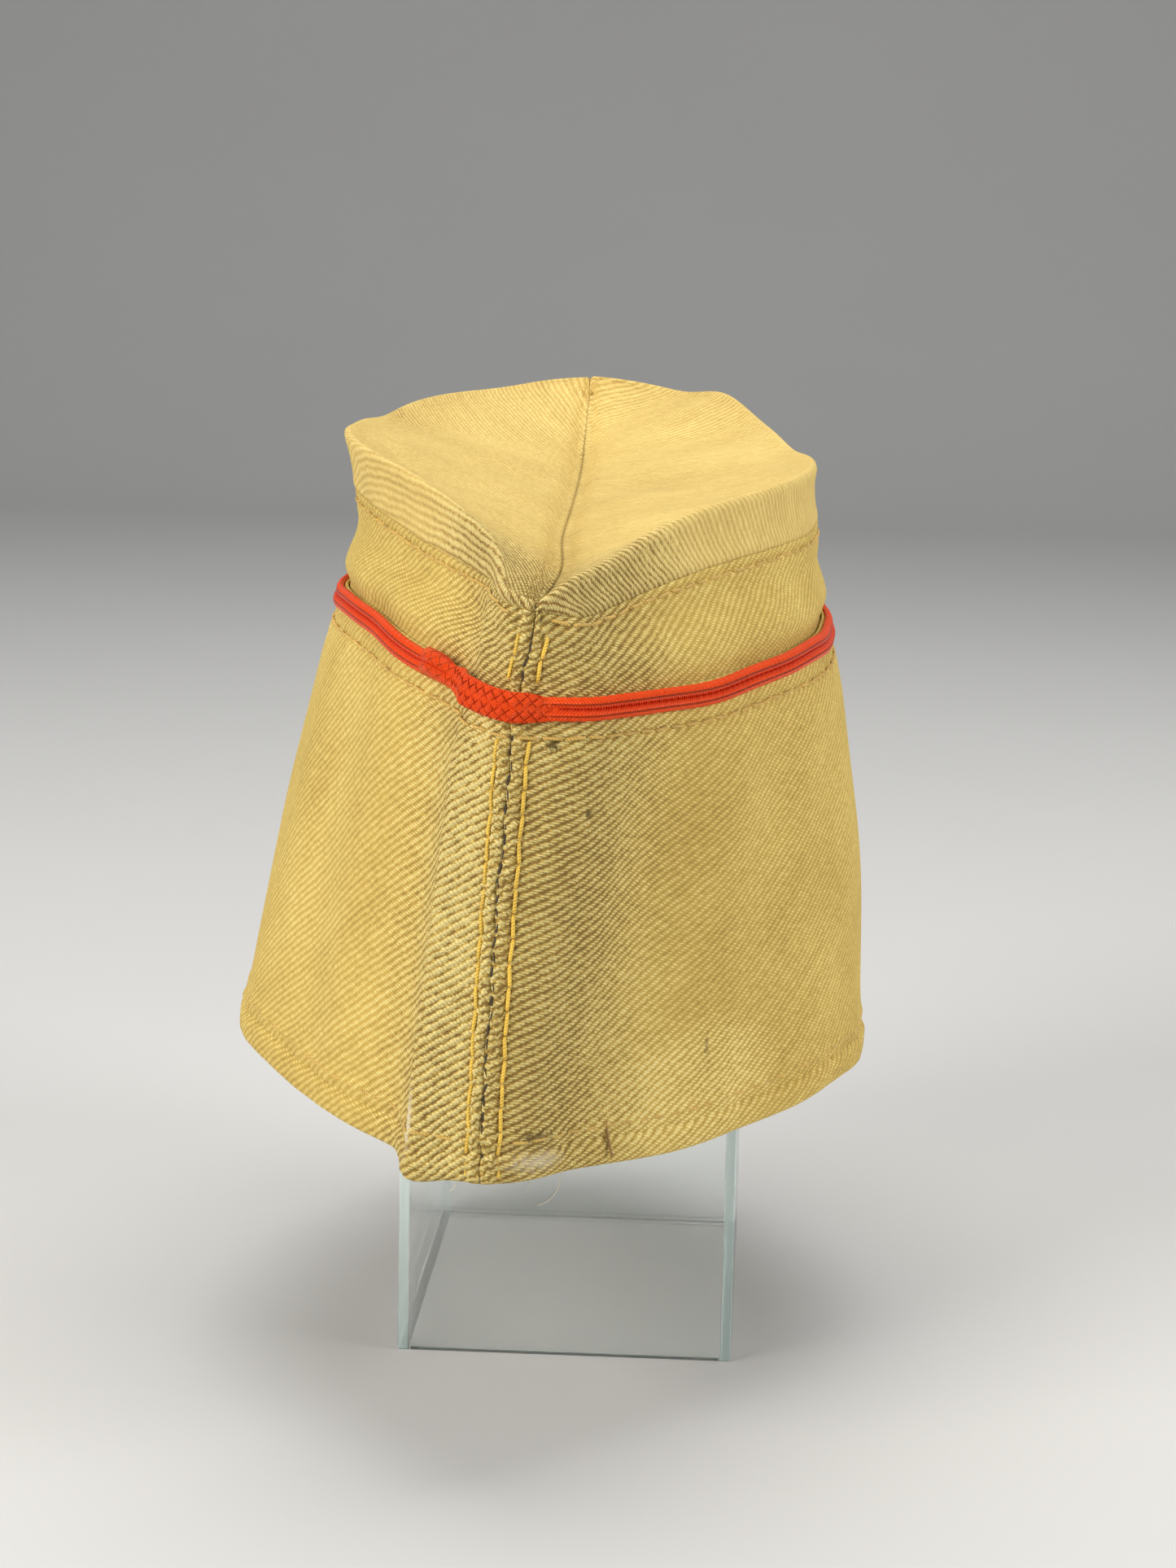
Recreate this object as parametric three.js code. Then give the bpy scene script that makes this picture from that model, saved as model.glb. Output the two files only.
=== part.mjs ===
// Side cap of cotton twill, with a braided turn-up, standing over a clear box stand.
// Millimetres, +Z up. The end with the notch points along -Y, and the stand's foot is at Z = 0.
import * as THREE from 'three';

// Cloth and trim
const WALL = 1.2;            // cloth of the crown and top panels
const CURTAIN = 1.5;         // cloth of the turn-up, which is two layers pressed flat
const GAP = 0.3;             // clearance between pieces that lie on each other
const SEAM_GAP = 0.3;        // clearance between the left and right halves at a seam
const HEM_LIP = 1.5;         // height of the curtain's folded hem under the crown wall
const RIM_RADIUS = 1.7;      // roundness of the fold over the rim
const BRAID_HEIGHT = 5.3;
const BRAID_THICKNESS = 2.3;
const BRAID_DROP = 1.6;      // braid's middle below the curtain's top edge
const RIB_DIP = 0.62;        // braid's thickness between its two ribs, as a share
const RIB_SWELL = 0.76;      // and what the ribs add to it

// How the cap sits
const HEM_HEIGHT = 58;       // hem at the notched end above the foot of the stand
const REACH = 110;           // half the cap's length
const LEAN_NEAR = 0.064;     // lean to +X at the notched end, in run over rise
const LEAN_FAR = 0.028;      // and at the other end
const LEAN_FADE = 2.5;       // how late the lean fades along the cap
const LEAN_CURL = 0.45;      // share of the lean that grows with height, full at LEAN_HEIGHT
const LEAN_HEIGHT = 100;
const BOW = 7.3;             // sideways bow of the middle at the hem
const TOP_BOW = -6.5;        // change of that bow at BOW_HEIGHT, growing with the square of height
const BOW_HEIGHT = 120;
const FRAME_SHIFT = -5.6;    // brings the middle of the whole object to X = 0

// Ends of the cap: each half turns out from its seam to a blunt nose within NOSE_TURN radians
const NOSE_TURN = 0.13;
const NOSE_BEND = 1.6;
const NOSE_FAR = 4;
const HEIGHT_BEND = 1.4;     // how soon a level leaves its height at the seam

// One row for each level of the cap. Heights are above the hem at the notched end.
const LEVELS = [
  { name: 'hem', half: 55.1, near: 108.2, far: 106.2, nearPower: 2.44, farPower: 1.7,
    nearHeight: 0, midHeight: 1.5, farHeight: 0, noseLeft: 12.5, noseRight: 5.5 },
  { name: 'skirt', half: 50.6, near: 107.2, far: 106.2, nearPower: 2.3, farPower: 1.45,
    nearHeight: 43, midHeight: 46, farHeight: 46, noseLeft: 8.3, noseRight: 7.2 },
  { name: 'braid', half: 40.8, near: 103.9, far: 105.7, nearPower: 2.05, farPower: 1.2,
    nearHeight: 85.8, midHeight: 90.5, farHeight: 92, noseLeft: 4, noseRight: 9.4 },
  { name: 'waist', half: 40.2, near: 104.5, far: 106.4, nearPower: 2.9, farPower: 1.08,
    nearHeight: 94.3, midHeight: 105.6, farHeight: 110, noseLeft: 5.6, noseRight: 8.6 },
  { name: 'rim', half: 42.3, near: 105.5, far: 107.6, nearPower: 3.8, farPower: 1,
    nearHeight: 102.8, midHeight: 121.4, farHeight: 128, noseLeft: 7.6, noseRight: 7.2 },
];
const BRAID_ROW = 2;
const RIM_ROW = 4;

// One row for each soft fold: the angle it lies at on the hem and on the rim, the rows it spans,
// its half width in radians and how far it pushes the cloth out.
const FOLDS = [
  { name: 'nose fold', side: -1, hemAngle: 0.21, rimAngle: 0.44, fromRow: -1, toRow: 5,
    width: 0.07, push: 2.2 },
  { name: 'hollow behind the nose fold', side: -1, hemAngle: 0.46, rimAngle: 0.66, fromRow: -1, toRow: 5,
    width: 0.12, push: -1.8 },
  { name: 'dent beside the seam', side: 1, hemAngle: 0.6, rimAngle: 0.66, fromRow: 0, toRow: 2.4,
    width: 0.13, push: -2.2 },
  { name: 'swell of the right side', side: 1, hemAngle: 1.3, rimAngle: 1.3, fromRow: 0.4, toRow: 1.6,
    width: 0.3, push: 1.5 },
];

// The ridge seam, where a crown wall meets its top panel
const RIDGE_ROW = 3.28;
const RIDGE_RISE_AT_NOTCH = 0.29;
const RIDGE_TURN = 0.25;

// The trough between the rims: its seam's height along the cap
const VALLEY_INSET = 4;      // from the rim at each end to the seam's end
const VALLEY = { start: 101, lip: 4, lipRun: 25, slope: 0.033, kick: 13, kickPower: 14 };
const TROUGH_BEND = 0.85;    // below 1 the trough falls faster near the rim
const TROUGH_TILT = 0.4;     // slope of the rim's fold where the trough starts, radians
const FOLD_START = 0.75 * Math.PI; // turn at which the rim's fold takes over from the strip

// Clear box stand, open underneath
const STAND_WIDTH = 67;
const STAND_DEPTH = 93;
const STAND_FRONT = -40;     // Y of its front face
const STAND_MIDDLE = 10.5;   // X of its middle, before the frame's shift
const PANEL = 2.2;
const GLUE_LINE = 0.1;
const TOP_CLEARANCE = 0.7;   // between the stand's top and the trough's seam

// How finely the cloth is faceted
const ANGLE_STEPS = 36;
const END_CROWDING = 0.72;   // crowds the steps towards the seams
const CURTAIN_ROWS = 6;
const CROWN_ROWS_ABOVE = 3;  // above the curtain
const STRIP_ROWS = 2;
const FOLD_STEPS = 3;
const TROUGH_STEPS = 6;
const BRAID_STEPS = 40;
const BRAID_SIDES = 12;
const ANGLE_NUDGE = 0.004;   // small steps that give directions and rates
const ROW_NUDGE = 0.02;
const RISE_NUDGE = 0.05;

// Value of a level's column at a fractional row, on a Catmull-Rom curve
function levelValue(column, row) {
  const last = LEVELS.length - 1;
  const i = Math.min(Math.max(Math.floor(row), 0), last - 1);
  const t = row - i;
  const at = (k) => {
    if (k < 0) return 2 * LEVELS[0][column] - LEVELS[1][column];
    if (k > last) return 2 * LEVELS[last][column] - LEVELS[last - 1][column];
    return LEVELS[k][column];
  };
  const [a, b, c, d] = [at(i - 1), at(i), at(i + 1), at(i + 2)];
  return b + 0.5 * t * (c - a + t * (2 * a - 5 * b + 4 * c - d + t * (3 * (b - c) + d - a)));
}

// Smooth step from 0 to 1 between two values
function fade(from, to, value) {
  return THREE.MathUtils.smoothstep(value, from, to);
}

// Point of the crown's outer face without folds. side is -1 or 1, angle runs from 0 at the notched
// end's seam to PI at the other end's seam, and row is a place in LEVELS.
function bareWall(side, angle, row) {
  const cos = Math.cos(angle);
  const sin = Math.max(Math.sin(angle), 0);
  const near = cos > 0;
  const reach = levelValue(near ? 'near' : 'far', row);
  const power = levelValue(near ? 'nearPower' : 'farPower', row);
  const nose = levelValue(side < 0 ? 'noseLeft' : 'noseRight', row);
  const turnedOut = (a) => 1 - Math.exp(-((a / NOSE_TURN) ** NOSE_BEND));
  const half = levelValue('half', row) * sin ** power
    + nose * turnedOut(angle) * (1 + cos) / 2
    + NOSE_FAR * turnedOut(Math.PI - angle) * (1 - cos) / 2;
  const endHeight = levelValue(near ? 'nearHeight' : 'farHeight', row);
  const height = endHeight + (levelValue('midHeight', row) - endHeight) * sin ** HEIGHT_BEND;
  return new THREE.Vector3(side * (half + SEAM_GAP / 2), -reach * cos, height);
}

// Outward direction of the bare wall, square to the seam at both ends
function wallNormal(side, angle, row) {
  if (angle < 1e-6) return new THREE.Vector3(0, -1, 0);
  if (angle > Math.PI - 1e-6) return new THREE.Vector3(0, 1, 0);
  const along = bareWall(side, angle + ANGLE_NUDGE, row).sub(bareWall(side, angle - ANGLE_NUDGE, row));
  const up = bareWall(side, angle, row + ROW_NUDGE).sub(bareWall(side, angle, row - ROW_NUDGE));
  return along.cross(up).multiplyScalar(side).normalize();
}

// How far the folds push the cloth out at a place
function foldPush(side, angle, row) {
  let push = 0;
  for (const fold of FOLDS) {
    if (fold.side !== side) continue;
    const middle = THREE.MathUtils.lerp(fold.hemAngle, fold.rimAngle, row / RIM_ROW);
    const window = fade(fold.fromRow, fold.fromRow + 1, row) * (1 - fade(fold.toRow - 1, fold.toRow, row));
    push += fold.push * window * Math.exp(-(((angle - middle) / fold.width) ** 2));
  }
  return push;
}

// Point at a distance outside the crown's outer face
function wallPoint(side, angle, row, offset) {
  const normal = wallNormal(side, angle, row);
  return bareWall(side, angle, row).addScaledVector(normal, foldPush(side, angle, row) + offset);
}

// Puts a point of the straight cap where the leaning, bowed cap has it
function settle(point) {
  const { x, y, z } = point;
  const t = y / REACH;
  const passed = Math.max((1 + t) / 2, 0) ** LEAN_FADE;
  const lean = THREE.MathUtils.lerp(LEAN_NEAR, LEAN_FAR, passed);
  const bowed = x + (BOW + TOP_BOW * (z / BOW_HEIGHT) ** 2) * (1 - t * t);
  const curl = 1 - LEAN_CURL + LEAN_CURL * z / LEAN_HEIGHT;
  return new THREE.Vector3(bowed + z * lean * curl + FRAME_SHIFT, y, HEM_HEIGHT + z - bowed * lean);
}

// Angles from seam to seam, crowded at both ends
function seamToSeam(steps) {
  const angles = [];
  for (let i = 0; i <= steps; i += 1) {
    const t = i / steps;
    angles.push(Math.PI * (t - END_CROWDING * Math.sin(2 * Math.PI * t) / (2 * Math.PI)));
  }
  return angles;
}

// Values from one number to another in equal steps
function spaced(from, to, steps) {
  return Array.from({ length: steps + 1 }, (unused, i) => from + (to - from) * i / steps);
}

// Closed solid through a list of section loops. Each quad is cut along its shorter diagonal, so that
// cloth lying on cloth is cut alike, and an open run gets a flat end at each seam.
function sweep(sections, closed) {
  const size = sections[0].length;
  const points = sections.flat().map(settle);
  const faces = [];
  const runs = closed ? sections.length : sections.length - 1;
  for (let i = 0; i < runs; i += 1) {
    const here = i * size;
    const next = ((i + 1) % sections.length) * size;
    for (let j = 0; j < size; j += 1) {
      const k = (j + 1) % size;
      const [a, b, c, d] = [here + j, here + k, next + k, next + j];
      const rising = points[a].distanceTo(points[c]) < points[b].distanceTo(points[d]);
      faces.push(...(rising ? [[a, b, c], [a, c, d]] : [[a, b, d], [b, c, d]]));
    }
  }
  if (!closed) {
    const flat = (section) => section.map((p) => new THREE.Vector2(p.y, p.z));
    const lastStart = (sections.length - 1) * size;
    for (const [start, section, first] of [[0, sections[0], true], [lastStart, sections.at(-1), false]]) {
      for (const [a, b, c] of THREE.ShapeUtils.triangulateShape(flat(section), [])) {
        const ring = [start + a, start + b, start + c];
        faces.push(runsWithLoop(a, b, c, size) === first ? ring.reverse() : ring);
      }
    }
  }
  return closedGeometry(points, faces);
}

// Whether a triangle of a flat end turns the same way as the loop of its section
function runsWithLoop(a, b, c, size) {
  const turns = [[a, b], [b, c], [c, a]].map(([from, to]) => (to - from + size) % size);
  return turns.reduce((sum, step) => sum + step, 0) === size;
}

// Indexed geometry whose faces point outwards
function closedGeometry(points, faces) {
  let volume = 0;
  for (const [a, b, c] of faces) {
    volume += points[a].dot(points[b].clone().cross(points[c]));
  }
  const outward = volume > 0 ? faces : faces.map(([a, b, c]) => [a, c, b]);
  const geometry = new THREE.BufferGeometry().setFromPoints(points);
  geometry.setIndex(outward.flat());
  geometry.computeVertexNormals();
  return geometry;
}

// Row of the ridge seam at an angle
function ridgeRow(angle) {
  return RIDGE_ROW + RIDGE_RISE_AT_NOTCH * Math.exp(-((angle / RIDGE_TURN) ** 2));
}

// Row reached by going up the wall a distance from a row
function rowAbove(side, angle, row, distance) {
  const rise = wallPoint(side, angle, row, 0).distanceTo(wallPoint(side, angle, row + RISE_NUDGE, 0));
  return row + distance * RISE_NUDGE / rise;
}

// Rows from a first one up to the braid, shared by the crown and the curtain so that they nest
function rowsToBraid(first) {
  return [first, ...spaced(0, BRAID_ROW, CURTAIN_ROWS).slice(1)];
}

// Crown wall: cloth from above the hem's fold to the ridge seam
function crownSection(side, angle) {
  const rows = rowsToBraid(rowAbove(side, angle, 0, HEM_LIP + GAP));
  rows.push(...spaced(BRAID_ROW, ridgeRow(angle), CROWN_ROWS_ABOVE).slice(1));
  const outer = rows.map((row) => wallPoint(side, angle, row, 0));
  const inner = rows.map((row) => wallPoint(side, angle, row, -WALL));
  return [...outer, ...inner.reverse()];
}

// Curtain: turn-up outside the crown wall, with a lip that is the folded hem under it
function curtainSection(side, angle) {
  const lipTop = rowAbove(side, angle, 0, HEM_LIP);
  const outer = rowsToBraid(0).map((row) => wallPoint(side, angle, row, GAP + CURTAIN));
  const inner = rowsToBraid(lipTop).map((row) => wallPoint(side, angle, row, GAP));
  const lip = [wallPoint(side, angle, lipTop, -WALL), wallPoint(side, angle, 0, -WALL)];
  return [...outer, ...inner.reverse(), ...lip];
}

// Height of the trough's seam above the hem
function valleyHeight(y) {
  const run = y + LEVELS[RIM_ROW].near - VALLEY_INSET;
  const length = LEVELS[RIM_ROW].near + LEVELS[RIM_ROW].far - 2 * VALLEY_INSET;
  return VALLEY.start + VALLEY.lip * (1 - Math.exp(-run / VALLEY.lipRun)) + VALLEY.slope * run
    + VALLEY.kick * (run / length) ** VALLEY.kickPower;
}

// Top panel: a strip outside the rim, the fold over the rim and one slope of the trough
function topSection(side, angle) {
  const up = new THREE.Vector3(0, 0, 1);
  const rim = wallPoint(side, angle, RIM_ROW, 0);
  const cos = Math.cos(angle);
  const reach = (cos > 0 ? LEVELS[RIM_ROW].near : LEVELS[RIM_ROW].far) - VALLEY_INSET;
  const valley = new THREE.Vector3(side * SEAM_GAP / 2, -reach * cos, 0);
  valley.z = valleyHeight(valley.y);
  const inward = valley.clone().sub(rim).setZ(0);
  const width = inward.length();
  inward.normalize();
  const place = (a, b) => rim.clone().addScaledVector(inward, a).addScaledVector(up, b);

  const bottom = rowAbove(side, angle, ridgeRow(angle), GAP);
  const top = rowAbove(side, angle, RIM_ROW, -RIM_RADIUS);
  const outer = [];
  const inner = [];
  for (const row of spaced(bottom, top, STRIP_ROWS)) {
    outer.push(wallPoint(side, angle, row, 0));
    inner.push(wallPoint(side, angle, row, -WALL));
  }
  for (const turn of spaced(FOLD_START, Math.PI / 2 - TROUGH_TILT, FOLD_STEPS)) {
    const at = (radius) => place(RIM_RADIUS + radius * Math.cos(turn), radius * Math.sin(turn) - RIM_RADIUS);
    outer.push(at(RIM_RADIUS));
    inner.push(at(RIM_RADIUS - WALL));
  }
  const startA = RIM_RADIUS * (1 + Math.sin(TROUGH_TILT));
  const startB = RIM_RADIUS * (Math.cos(TROUGH_TILT) - 1);
  const drop = valley.z - rim.z;
  const slope = (q) => [startA + (width - startA) * q, startB + (drop - startB) * q ** TROUGH_BEND];
  for (const q of spaced(0, 1, TROUGH_STEPS).slice(1)) {
    const [a, b] = slope(q);
    const [aBefore, bBefore] = slope(q - RISE_NUDGE);
    const run = new THREE.Vector2(a - aBefore, b - bBefore).normalize();
    const atSeam = q === 1;
    outer.push(place(a, b));
    inner.push(atSeam ? place(a, b - WALL / run.x) : place(a + WALL * run.y, b - WALL * run.x));
  }
  return [...outer, ...inner.reverse()];
}

// Braid: two ribs side by side, carried round the outside of the curtain's top edge
function braidSection(side, angle) {
  const row = rowAbove(side, angle, BRAID_ROW, -BRAID_DROP);
  const middle = wallPoint(side, angle, row, GAP + CURTAIN + GAP + BRAID_THICKNESS / 2);
  const out = wallNormal(side, angle, row);
  const up = wallPoint(side, angle, row + RISE_NUDGE, 0)
    .sub(wallPoint(side, angle, row - RISE_NUDGE, 0))
    .normalize();
  const section = [];
  for (let k = 0; k < BRAID_SIDES; k += 1) {
    const turn = 2 * Math.PI * k / BRAID_SIDES;
    const ribs = RIB_DIP + RIB_SWELL * Math.abs(Math.sin(turn));
    section.push(middle.clone()
      .addScaledVector(up, BRAID_HEIGHT / 2 * Math.sin(turn))
      .addScaledVector(out, BRAID_THICKNESS / 2 * Math.cos(turn) * ribs));
  }
  return section;
}

// The braid's loop goes out along the right half and back along the left half
function braidSections() {
  const angles = seamToSeam(BRAID_STEPS);
  const right = angles.map((angle) => braidSection(1, angle));
  const left = angles.slice(1, -1).reverse().map((angle) => braidSection(-1, angle));
  for (const end of [right[0], right.at(-1)]) {
    for (const point of end) point.x = 0;
  }
  return [...right, ...left];
}

const sheet = (section, side) => sweep(seamToSeam(ANGLE_STEPS).map((angle) => section(side, angle)), false);

// The top of the stand carries the trough's seam just behind the stand's front
const troughAtFront = new THREE.Vector3(0, STAND_FRONT, valleyHeight(STAND_FRONT) - WALL);
const STAND_TOP = settle(troughAtFront).z - TOP_CLEARANCE;

// One row for each panel of the stand: its size and the place of its middle
function standPanels() {
  const wallTop = STAND_TOP - PANEL - GLUE_LINE;
  const sideX = (STAND_WIDTH - PANEL) / 2;
  const endY = (STAND_DEPTH - PANEL) / 2;
  const between = STAND_WIDTH - 2 * PANEL - 2 * GLUE_LINE;
  return [
    { name: 'stand_front', size: [between, PANEL, wallTop], at: [0, -endY, wallTop / 2] },
    { name: 'stand_back', size: [between, PANEL, wallTop], at: [0, endY, wallTop / 2] },
    { name: 'stand_left', size: [PANEL, STAND_DEPTH, wallTop], at: [-sideX, 0, wallTop / 2] },
    { name: 'stand_right', size: [PANEL, STAND_DEPTH, wallTop], at: [sideX, 0, wallTop / 2] },
    { name: 'stand_top', size: [STAND_WIDTH, STAND_DEPTH, PANEL], at: [0, 0, STAND_TOP - PANEL / 2] },
  ];
}

// Materials
const twill = () => new THREE.MeshStandardMaterial({ color: 0xbb9d5a, roughness: 0.9, metalness: 0 });
const topTwill = () => new THREE.MeshStandardMaterial({ color: 0xc2a766, roughness: 0.9, metalness: 0 });
const braidSilk = () => new THREE.MeshStandardMaterial({ color: 0xc4311d, roughness: 0.5, metalness: 0 });
const clear = () => new THREE.MeshStandardMaterial({
  color: 0xdfe9ea, roughness: 0.05, metalness: 0, transparent: true, opacity: 0.3,
});

function named(name, geometry, material) {
  const mesh = new THREE.Mesh(geometry, material);
  mesh.name = name;
  return mesh;
}

const cap = new THREE.Group();
for (const [word, side] of [['left', -1], ['right', 1]]) {
  cap.add(named(`crown_${word}`, sheet(crownSection, side), twill()));
  cap.add(named(`top_${word}`, sheet(topSection, side), topTwill()));
  cap.add(named(`curtain_${word}`, sheet(curtainSection, side), twill()));
}
cap.add(named('braid', sweep(braidSections(), true), braidSilk()));

const stand = new THREE.Group();
stand.position.set(STAND_MIDDLE + FRAME_SHIFT, STAND_FRONT + STAND_DEPTH / 2, 0);
for (const { name, size, at } of standPanels()) {
  const panel = named(name, new THREE.BoxGeometry(...size), clear());
  panel.position.set(...at);
  stand.add(panel);
}

const sideCap = new THREE.Group();
sideCap.add(cap, stand);
export default sideCap;
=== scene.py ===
"""Looks of a cotton twill side cap with a braid-edged turn-up, shown over a clear box stand.

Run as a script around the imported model. Shapes are worked out in millimetres and put into meshes in metres.
Each half of the cap has a side, -1 on the left and 1 on the right. A place on its wall is an angle, 0 at
the near seam and pi at the far one, and a row, 0 at the hem, 2 at the turn-up's top edge and 4 at the rim.
"""

import math

import bpy
import numpy as np
from mathutils import Matrix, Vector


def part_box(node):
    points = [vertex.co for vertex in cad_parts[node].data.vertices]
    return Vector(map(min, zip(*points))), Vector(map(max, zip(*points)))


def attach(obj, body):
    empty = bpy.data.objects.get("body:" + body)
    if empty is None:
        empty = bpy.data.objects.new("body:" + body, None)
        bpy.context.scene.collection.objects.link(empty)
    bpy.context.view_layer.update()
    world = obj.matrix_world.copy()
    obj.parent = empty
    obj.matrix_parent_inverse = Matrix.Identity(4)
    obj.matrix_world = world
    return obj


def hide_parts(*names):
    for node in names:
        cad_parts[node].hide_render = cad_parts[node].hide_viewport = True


bl_info = {
    "name": "Side cap looks",
    "version": (1, 0, 0),
    "blender": (4, 5, 0),
    "location": "3D View > Sidebar > Side cap",
    "description": "Dresses the packed side cap and its clear stand with cloth, braid, stitching and light",
    "category": "Object",
}

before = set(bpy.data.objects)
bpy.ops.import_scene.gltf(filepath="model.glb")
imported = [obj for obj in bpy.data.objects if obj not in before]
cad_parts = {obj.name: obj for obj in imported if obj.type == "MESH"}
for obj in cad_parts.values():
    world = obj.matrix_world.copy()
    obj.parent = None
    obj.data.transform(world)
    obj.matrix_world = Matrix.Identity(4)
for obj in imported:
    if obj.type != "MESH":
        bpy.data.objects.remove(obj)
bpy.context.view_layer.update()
MM = 0.001
BODY = "root"
SIDES = (-1, 1)
UP = np.array([0.0, 0.0, 1.0])
FULL_TURN = 2 * math.pi

# Thickness of the cloth and the gaps between its pieces
WALL = 1.2
CURTAIN = 1.5
GAP = 0.3
SEAM_GAP = 0.1
HEM_LIP = 1.5
RIM_RADIUS = 1.2
TOP_TAPER = 0.85
TAPER_RUN = 14.0
TAPER_END = 1.0

# Stance of the whole cap: its height, its lean to one side and its bow along its length
HEM_HEIGHT = 58.0
REACH = 110.0
LEAN_NEAR = 0.064
LEAN_FAR = 0.028
LEAN_FADE = 2.5
LEAN_CURL = 0.45
LEAN_HEIGHT = 100.0
BOW = 7.3
TOP_BOW = -6.5
BOW_HEIGHT = 120.0
FRAME_SHIFT = -5.6

# Blunt noses at both seams, and the wall's sizes at five rows from the hem to the rim
NOSE_TURN = 0.13
NOSE_TURN_RIM = 0.3
NOSE_BEND = 1.6
NOSE_FAR = 4.0
HEIGHT_BEND = 1.4
BRAID_ROW = 2.0
RIM_ROW = 4.0
RIM_START = 3.0
LEVELS = {
    "half": (55.1, 50.6, 40.8, 40.2, 42.3),
    "near": (108.2, 107.2, 103.9, 104.5, 105.5),
    "far": (106.2, 106.2, 105.7, 106.4, 107.6),
    "near_power": (2.44, 2.3, 2.05, 2.9, 3.8),
    "far_power": (1.7, 1.45, 1.2, 1.08, 1.0),
    "near_height": (0.0, 43.0, 85.8, 94.3, 102.8),
    "mid_height": (1.5, 46.0, 90.5, 105.6, 121.4),
    "far_height": (0.0, 46.0, 92.0, 110.0, 128.0),
    "nose_left": (12.5, 8.3, 4.0, 5.6, 7.6),
    "nose_right": (5.5, 7.2, 9.4, 8.6, 7.2),
}

# Ridge seam, with its turn by side, edges of the top panels, and the trough's seam between them
RIDGE_ROW = 3.28
RIDGE_RISE_AT_NOTCH = 0.5
RIDGE_TURN = {-1: 0.55, 1: 0.25}
RIDGE_POWER = {-1: 2.5, 1: 2.0}
RIDGE_CLEAR = 0.08
RIDGE_DIP = 0.12
CROWN_DIP_RUN = 0.6
TOP_DIP_RUN = 0.35
TOP_EDGE_SWELL = 0.2
TOP_EDGE_AT = 1.2
TOP_EDGE_RUN = 1.1
TOP_END_DIP = 0.6
TOP_END_RUN = 0.5
TOP_QUIET = 6.0
VALLEY_INSET = 4.0
VALLEY_APART = 0.01
VALLEY_START = 101.0
VALLEY_LIP = 4.0
VALLEY_LIP_RUN = 25.0
VALLEY_SLOPE = 0.033
VALLEY_KICK = 13.0
VALLEY_KICK_POWER = 14
VALLEY_STRAIGHTEN = -2.3
VALLEY_SWERVE = 2.0
SWERVE_PLACE = -68.0
SWERVE_RUN = 24.0
VALLEY_DIP = 1.5
VALLEY_DIP_RUN = 2.6
VALLEY_PUCKER = 0.06
VALLEY_PUCKER_RUN = 2.0
TROUGH_BEND = 0.75
TROUGH_TILT = 0.4
TROUGH_CROWDING = 1.25
FOLD_START = 0.75 * math.pi

# Soft sag of the top panels: two strengths and their waves along the seam and down the panel
SAG_LONG = 0.72
SAG_SHORT = 0.4
SAG_WAVES = (21.0, 9.5, 13.0, 7.0)
SAG_BELOW_RIM = (14.0, 24.0)
SAG_ABOVE_VALLEY = (1.0, 14.0)

# Soft folds: side, angle at the hem, angle at the rim, first row, last row, half width, push
FOLDS = (
    (-1, 0.21, 0.44, -1.0, 3.7, 0.07, 2.2),
    (-1, 0.46, 0.66, -1.0, 3.7, 0.12, -1.8),
    (1, 0.60, 0.66, 0.0, 2.4, 0.13, -2.2),
    (1, 1.30, 1.30, 0.4, 1.6, 0.30, 1.5),
    (-1, 0.30, 0.40, 1.0, 2.9, 0.035, 0.7),
    (1, 0.40, 0.46, 0.2, 2.3, 0.05, 0.5),
    (-1, 0.78, 0.85, -0.5, 2.5, 0.08, 0.9),
    (-1, 0.98, 1.02, -0.5, 2.3, 0.09, -0.8),
    (1, 0.86, 0.86, -0.5, 2.3, 0.1, 0.8),
    (1, 1.05, 1.0, 0.3, 2.6, 0.1, -0.6),
    (-1, 1.10, 1.15, -2.0, 0.9, 0.26, 2.8),
    (-1, 1.35, 1.35, 2.2, 4.1, 0.5, -2.0),
    (1, 1.15, 1.15, -2.0, 0.9, 0.22, 2.0),
)
BRAID_CALM = 0.6
BRAID_CALM_ROWS = 0.35

# Fine wrinkles: strength, waves by angle, slant by row, shift by side, waves by row, shift
WRINKLES = (
    (0.3, 11.0, 1.7, 1.0, 1.9, 0.8),
    (0.18, 23.0, -2.6, 1.3, 2.7, math.pi / 2),
)
SMOOTH_ANGLE = 0.3

# Waves of the rim, of the braid's line and of the hem: side, angle, half width, lift
RIM_WAVES = (
    (1, 0.62, 0.22, -2.0),
    (1, 2.45, 0.17, 3.0),
    (1, 1.92, 0.15, -1.5),
    (-1, 1.95, 0.15, -1.2),
    (-1, 2.75, 0.3, -1.3),
)
BRAID_WAVES = (
    (-1, 1.05, 0.32, 1.6),
    (1, 0.72, 0.32, -1.5),
)
HEM_WAVES = (
    (1, 1.25, 0.22, 3.0),
    (1, 0.74, 0.15, -1.1),
    (-1, 1.12, 0.22, 1.2),
)
BRAID_WAVE_ROWS = 0.6
HEM_WAVE_ROW = 0.7

# Swells: rows where each rises and falls, and at the braid by side its push, row and half width in rows
WAIST_SWELL = 1.5
WAIST_ROWS = (1.99, 2.2, 3.1, 3.8)
FAR_SWELL = 0.6
FAR_SWELL_FROM = (-0.1, 0.5)
CROWN_LAP = 1.0
CROWN_LAP_ROWS = (2.0, 2.12, 2.2, 2.9)
BRAID_SWELL = {-1: (1.5, 1.78, 0.42), 1: (2.0, 1.72, 0.45)}

# Hem: its sag, its double cloth and the left corner beside the near seam
HEM_SAG = 1.1
HEM_RELIEF = 1.6
HEM_ROLL = 0.2
HEM_ROLL_AT = 3.0
HEM_ROLL_RUN = 2.0
HEM_DOUBLE = 0.3
HEM_DOUBLE_FADE = (5.5, 8.0)
HEM_CORNER = 1.5
HEM_CORNER_AT = 13.0
HEM_CORNER_RUN = 6.0
HEM_CORNER_HEIGHT = 26.0

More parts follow.
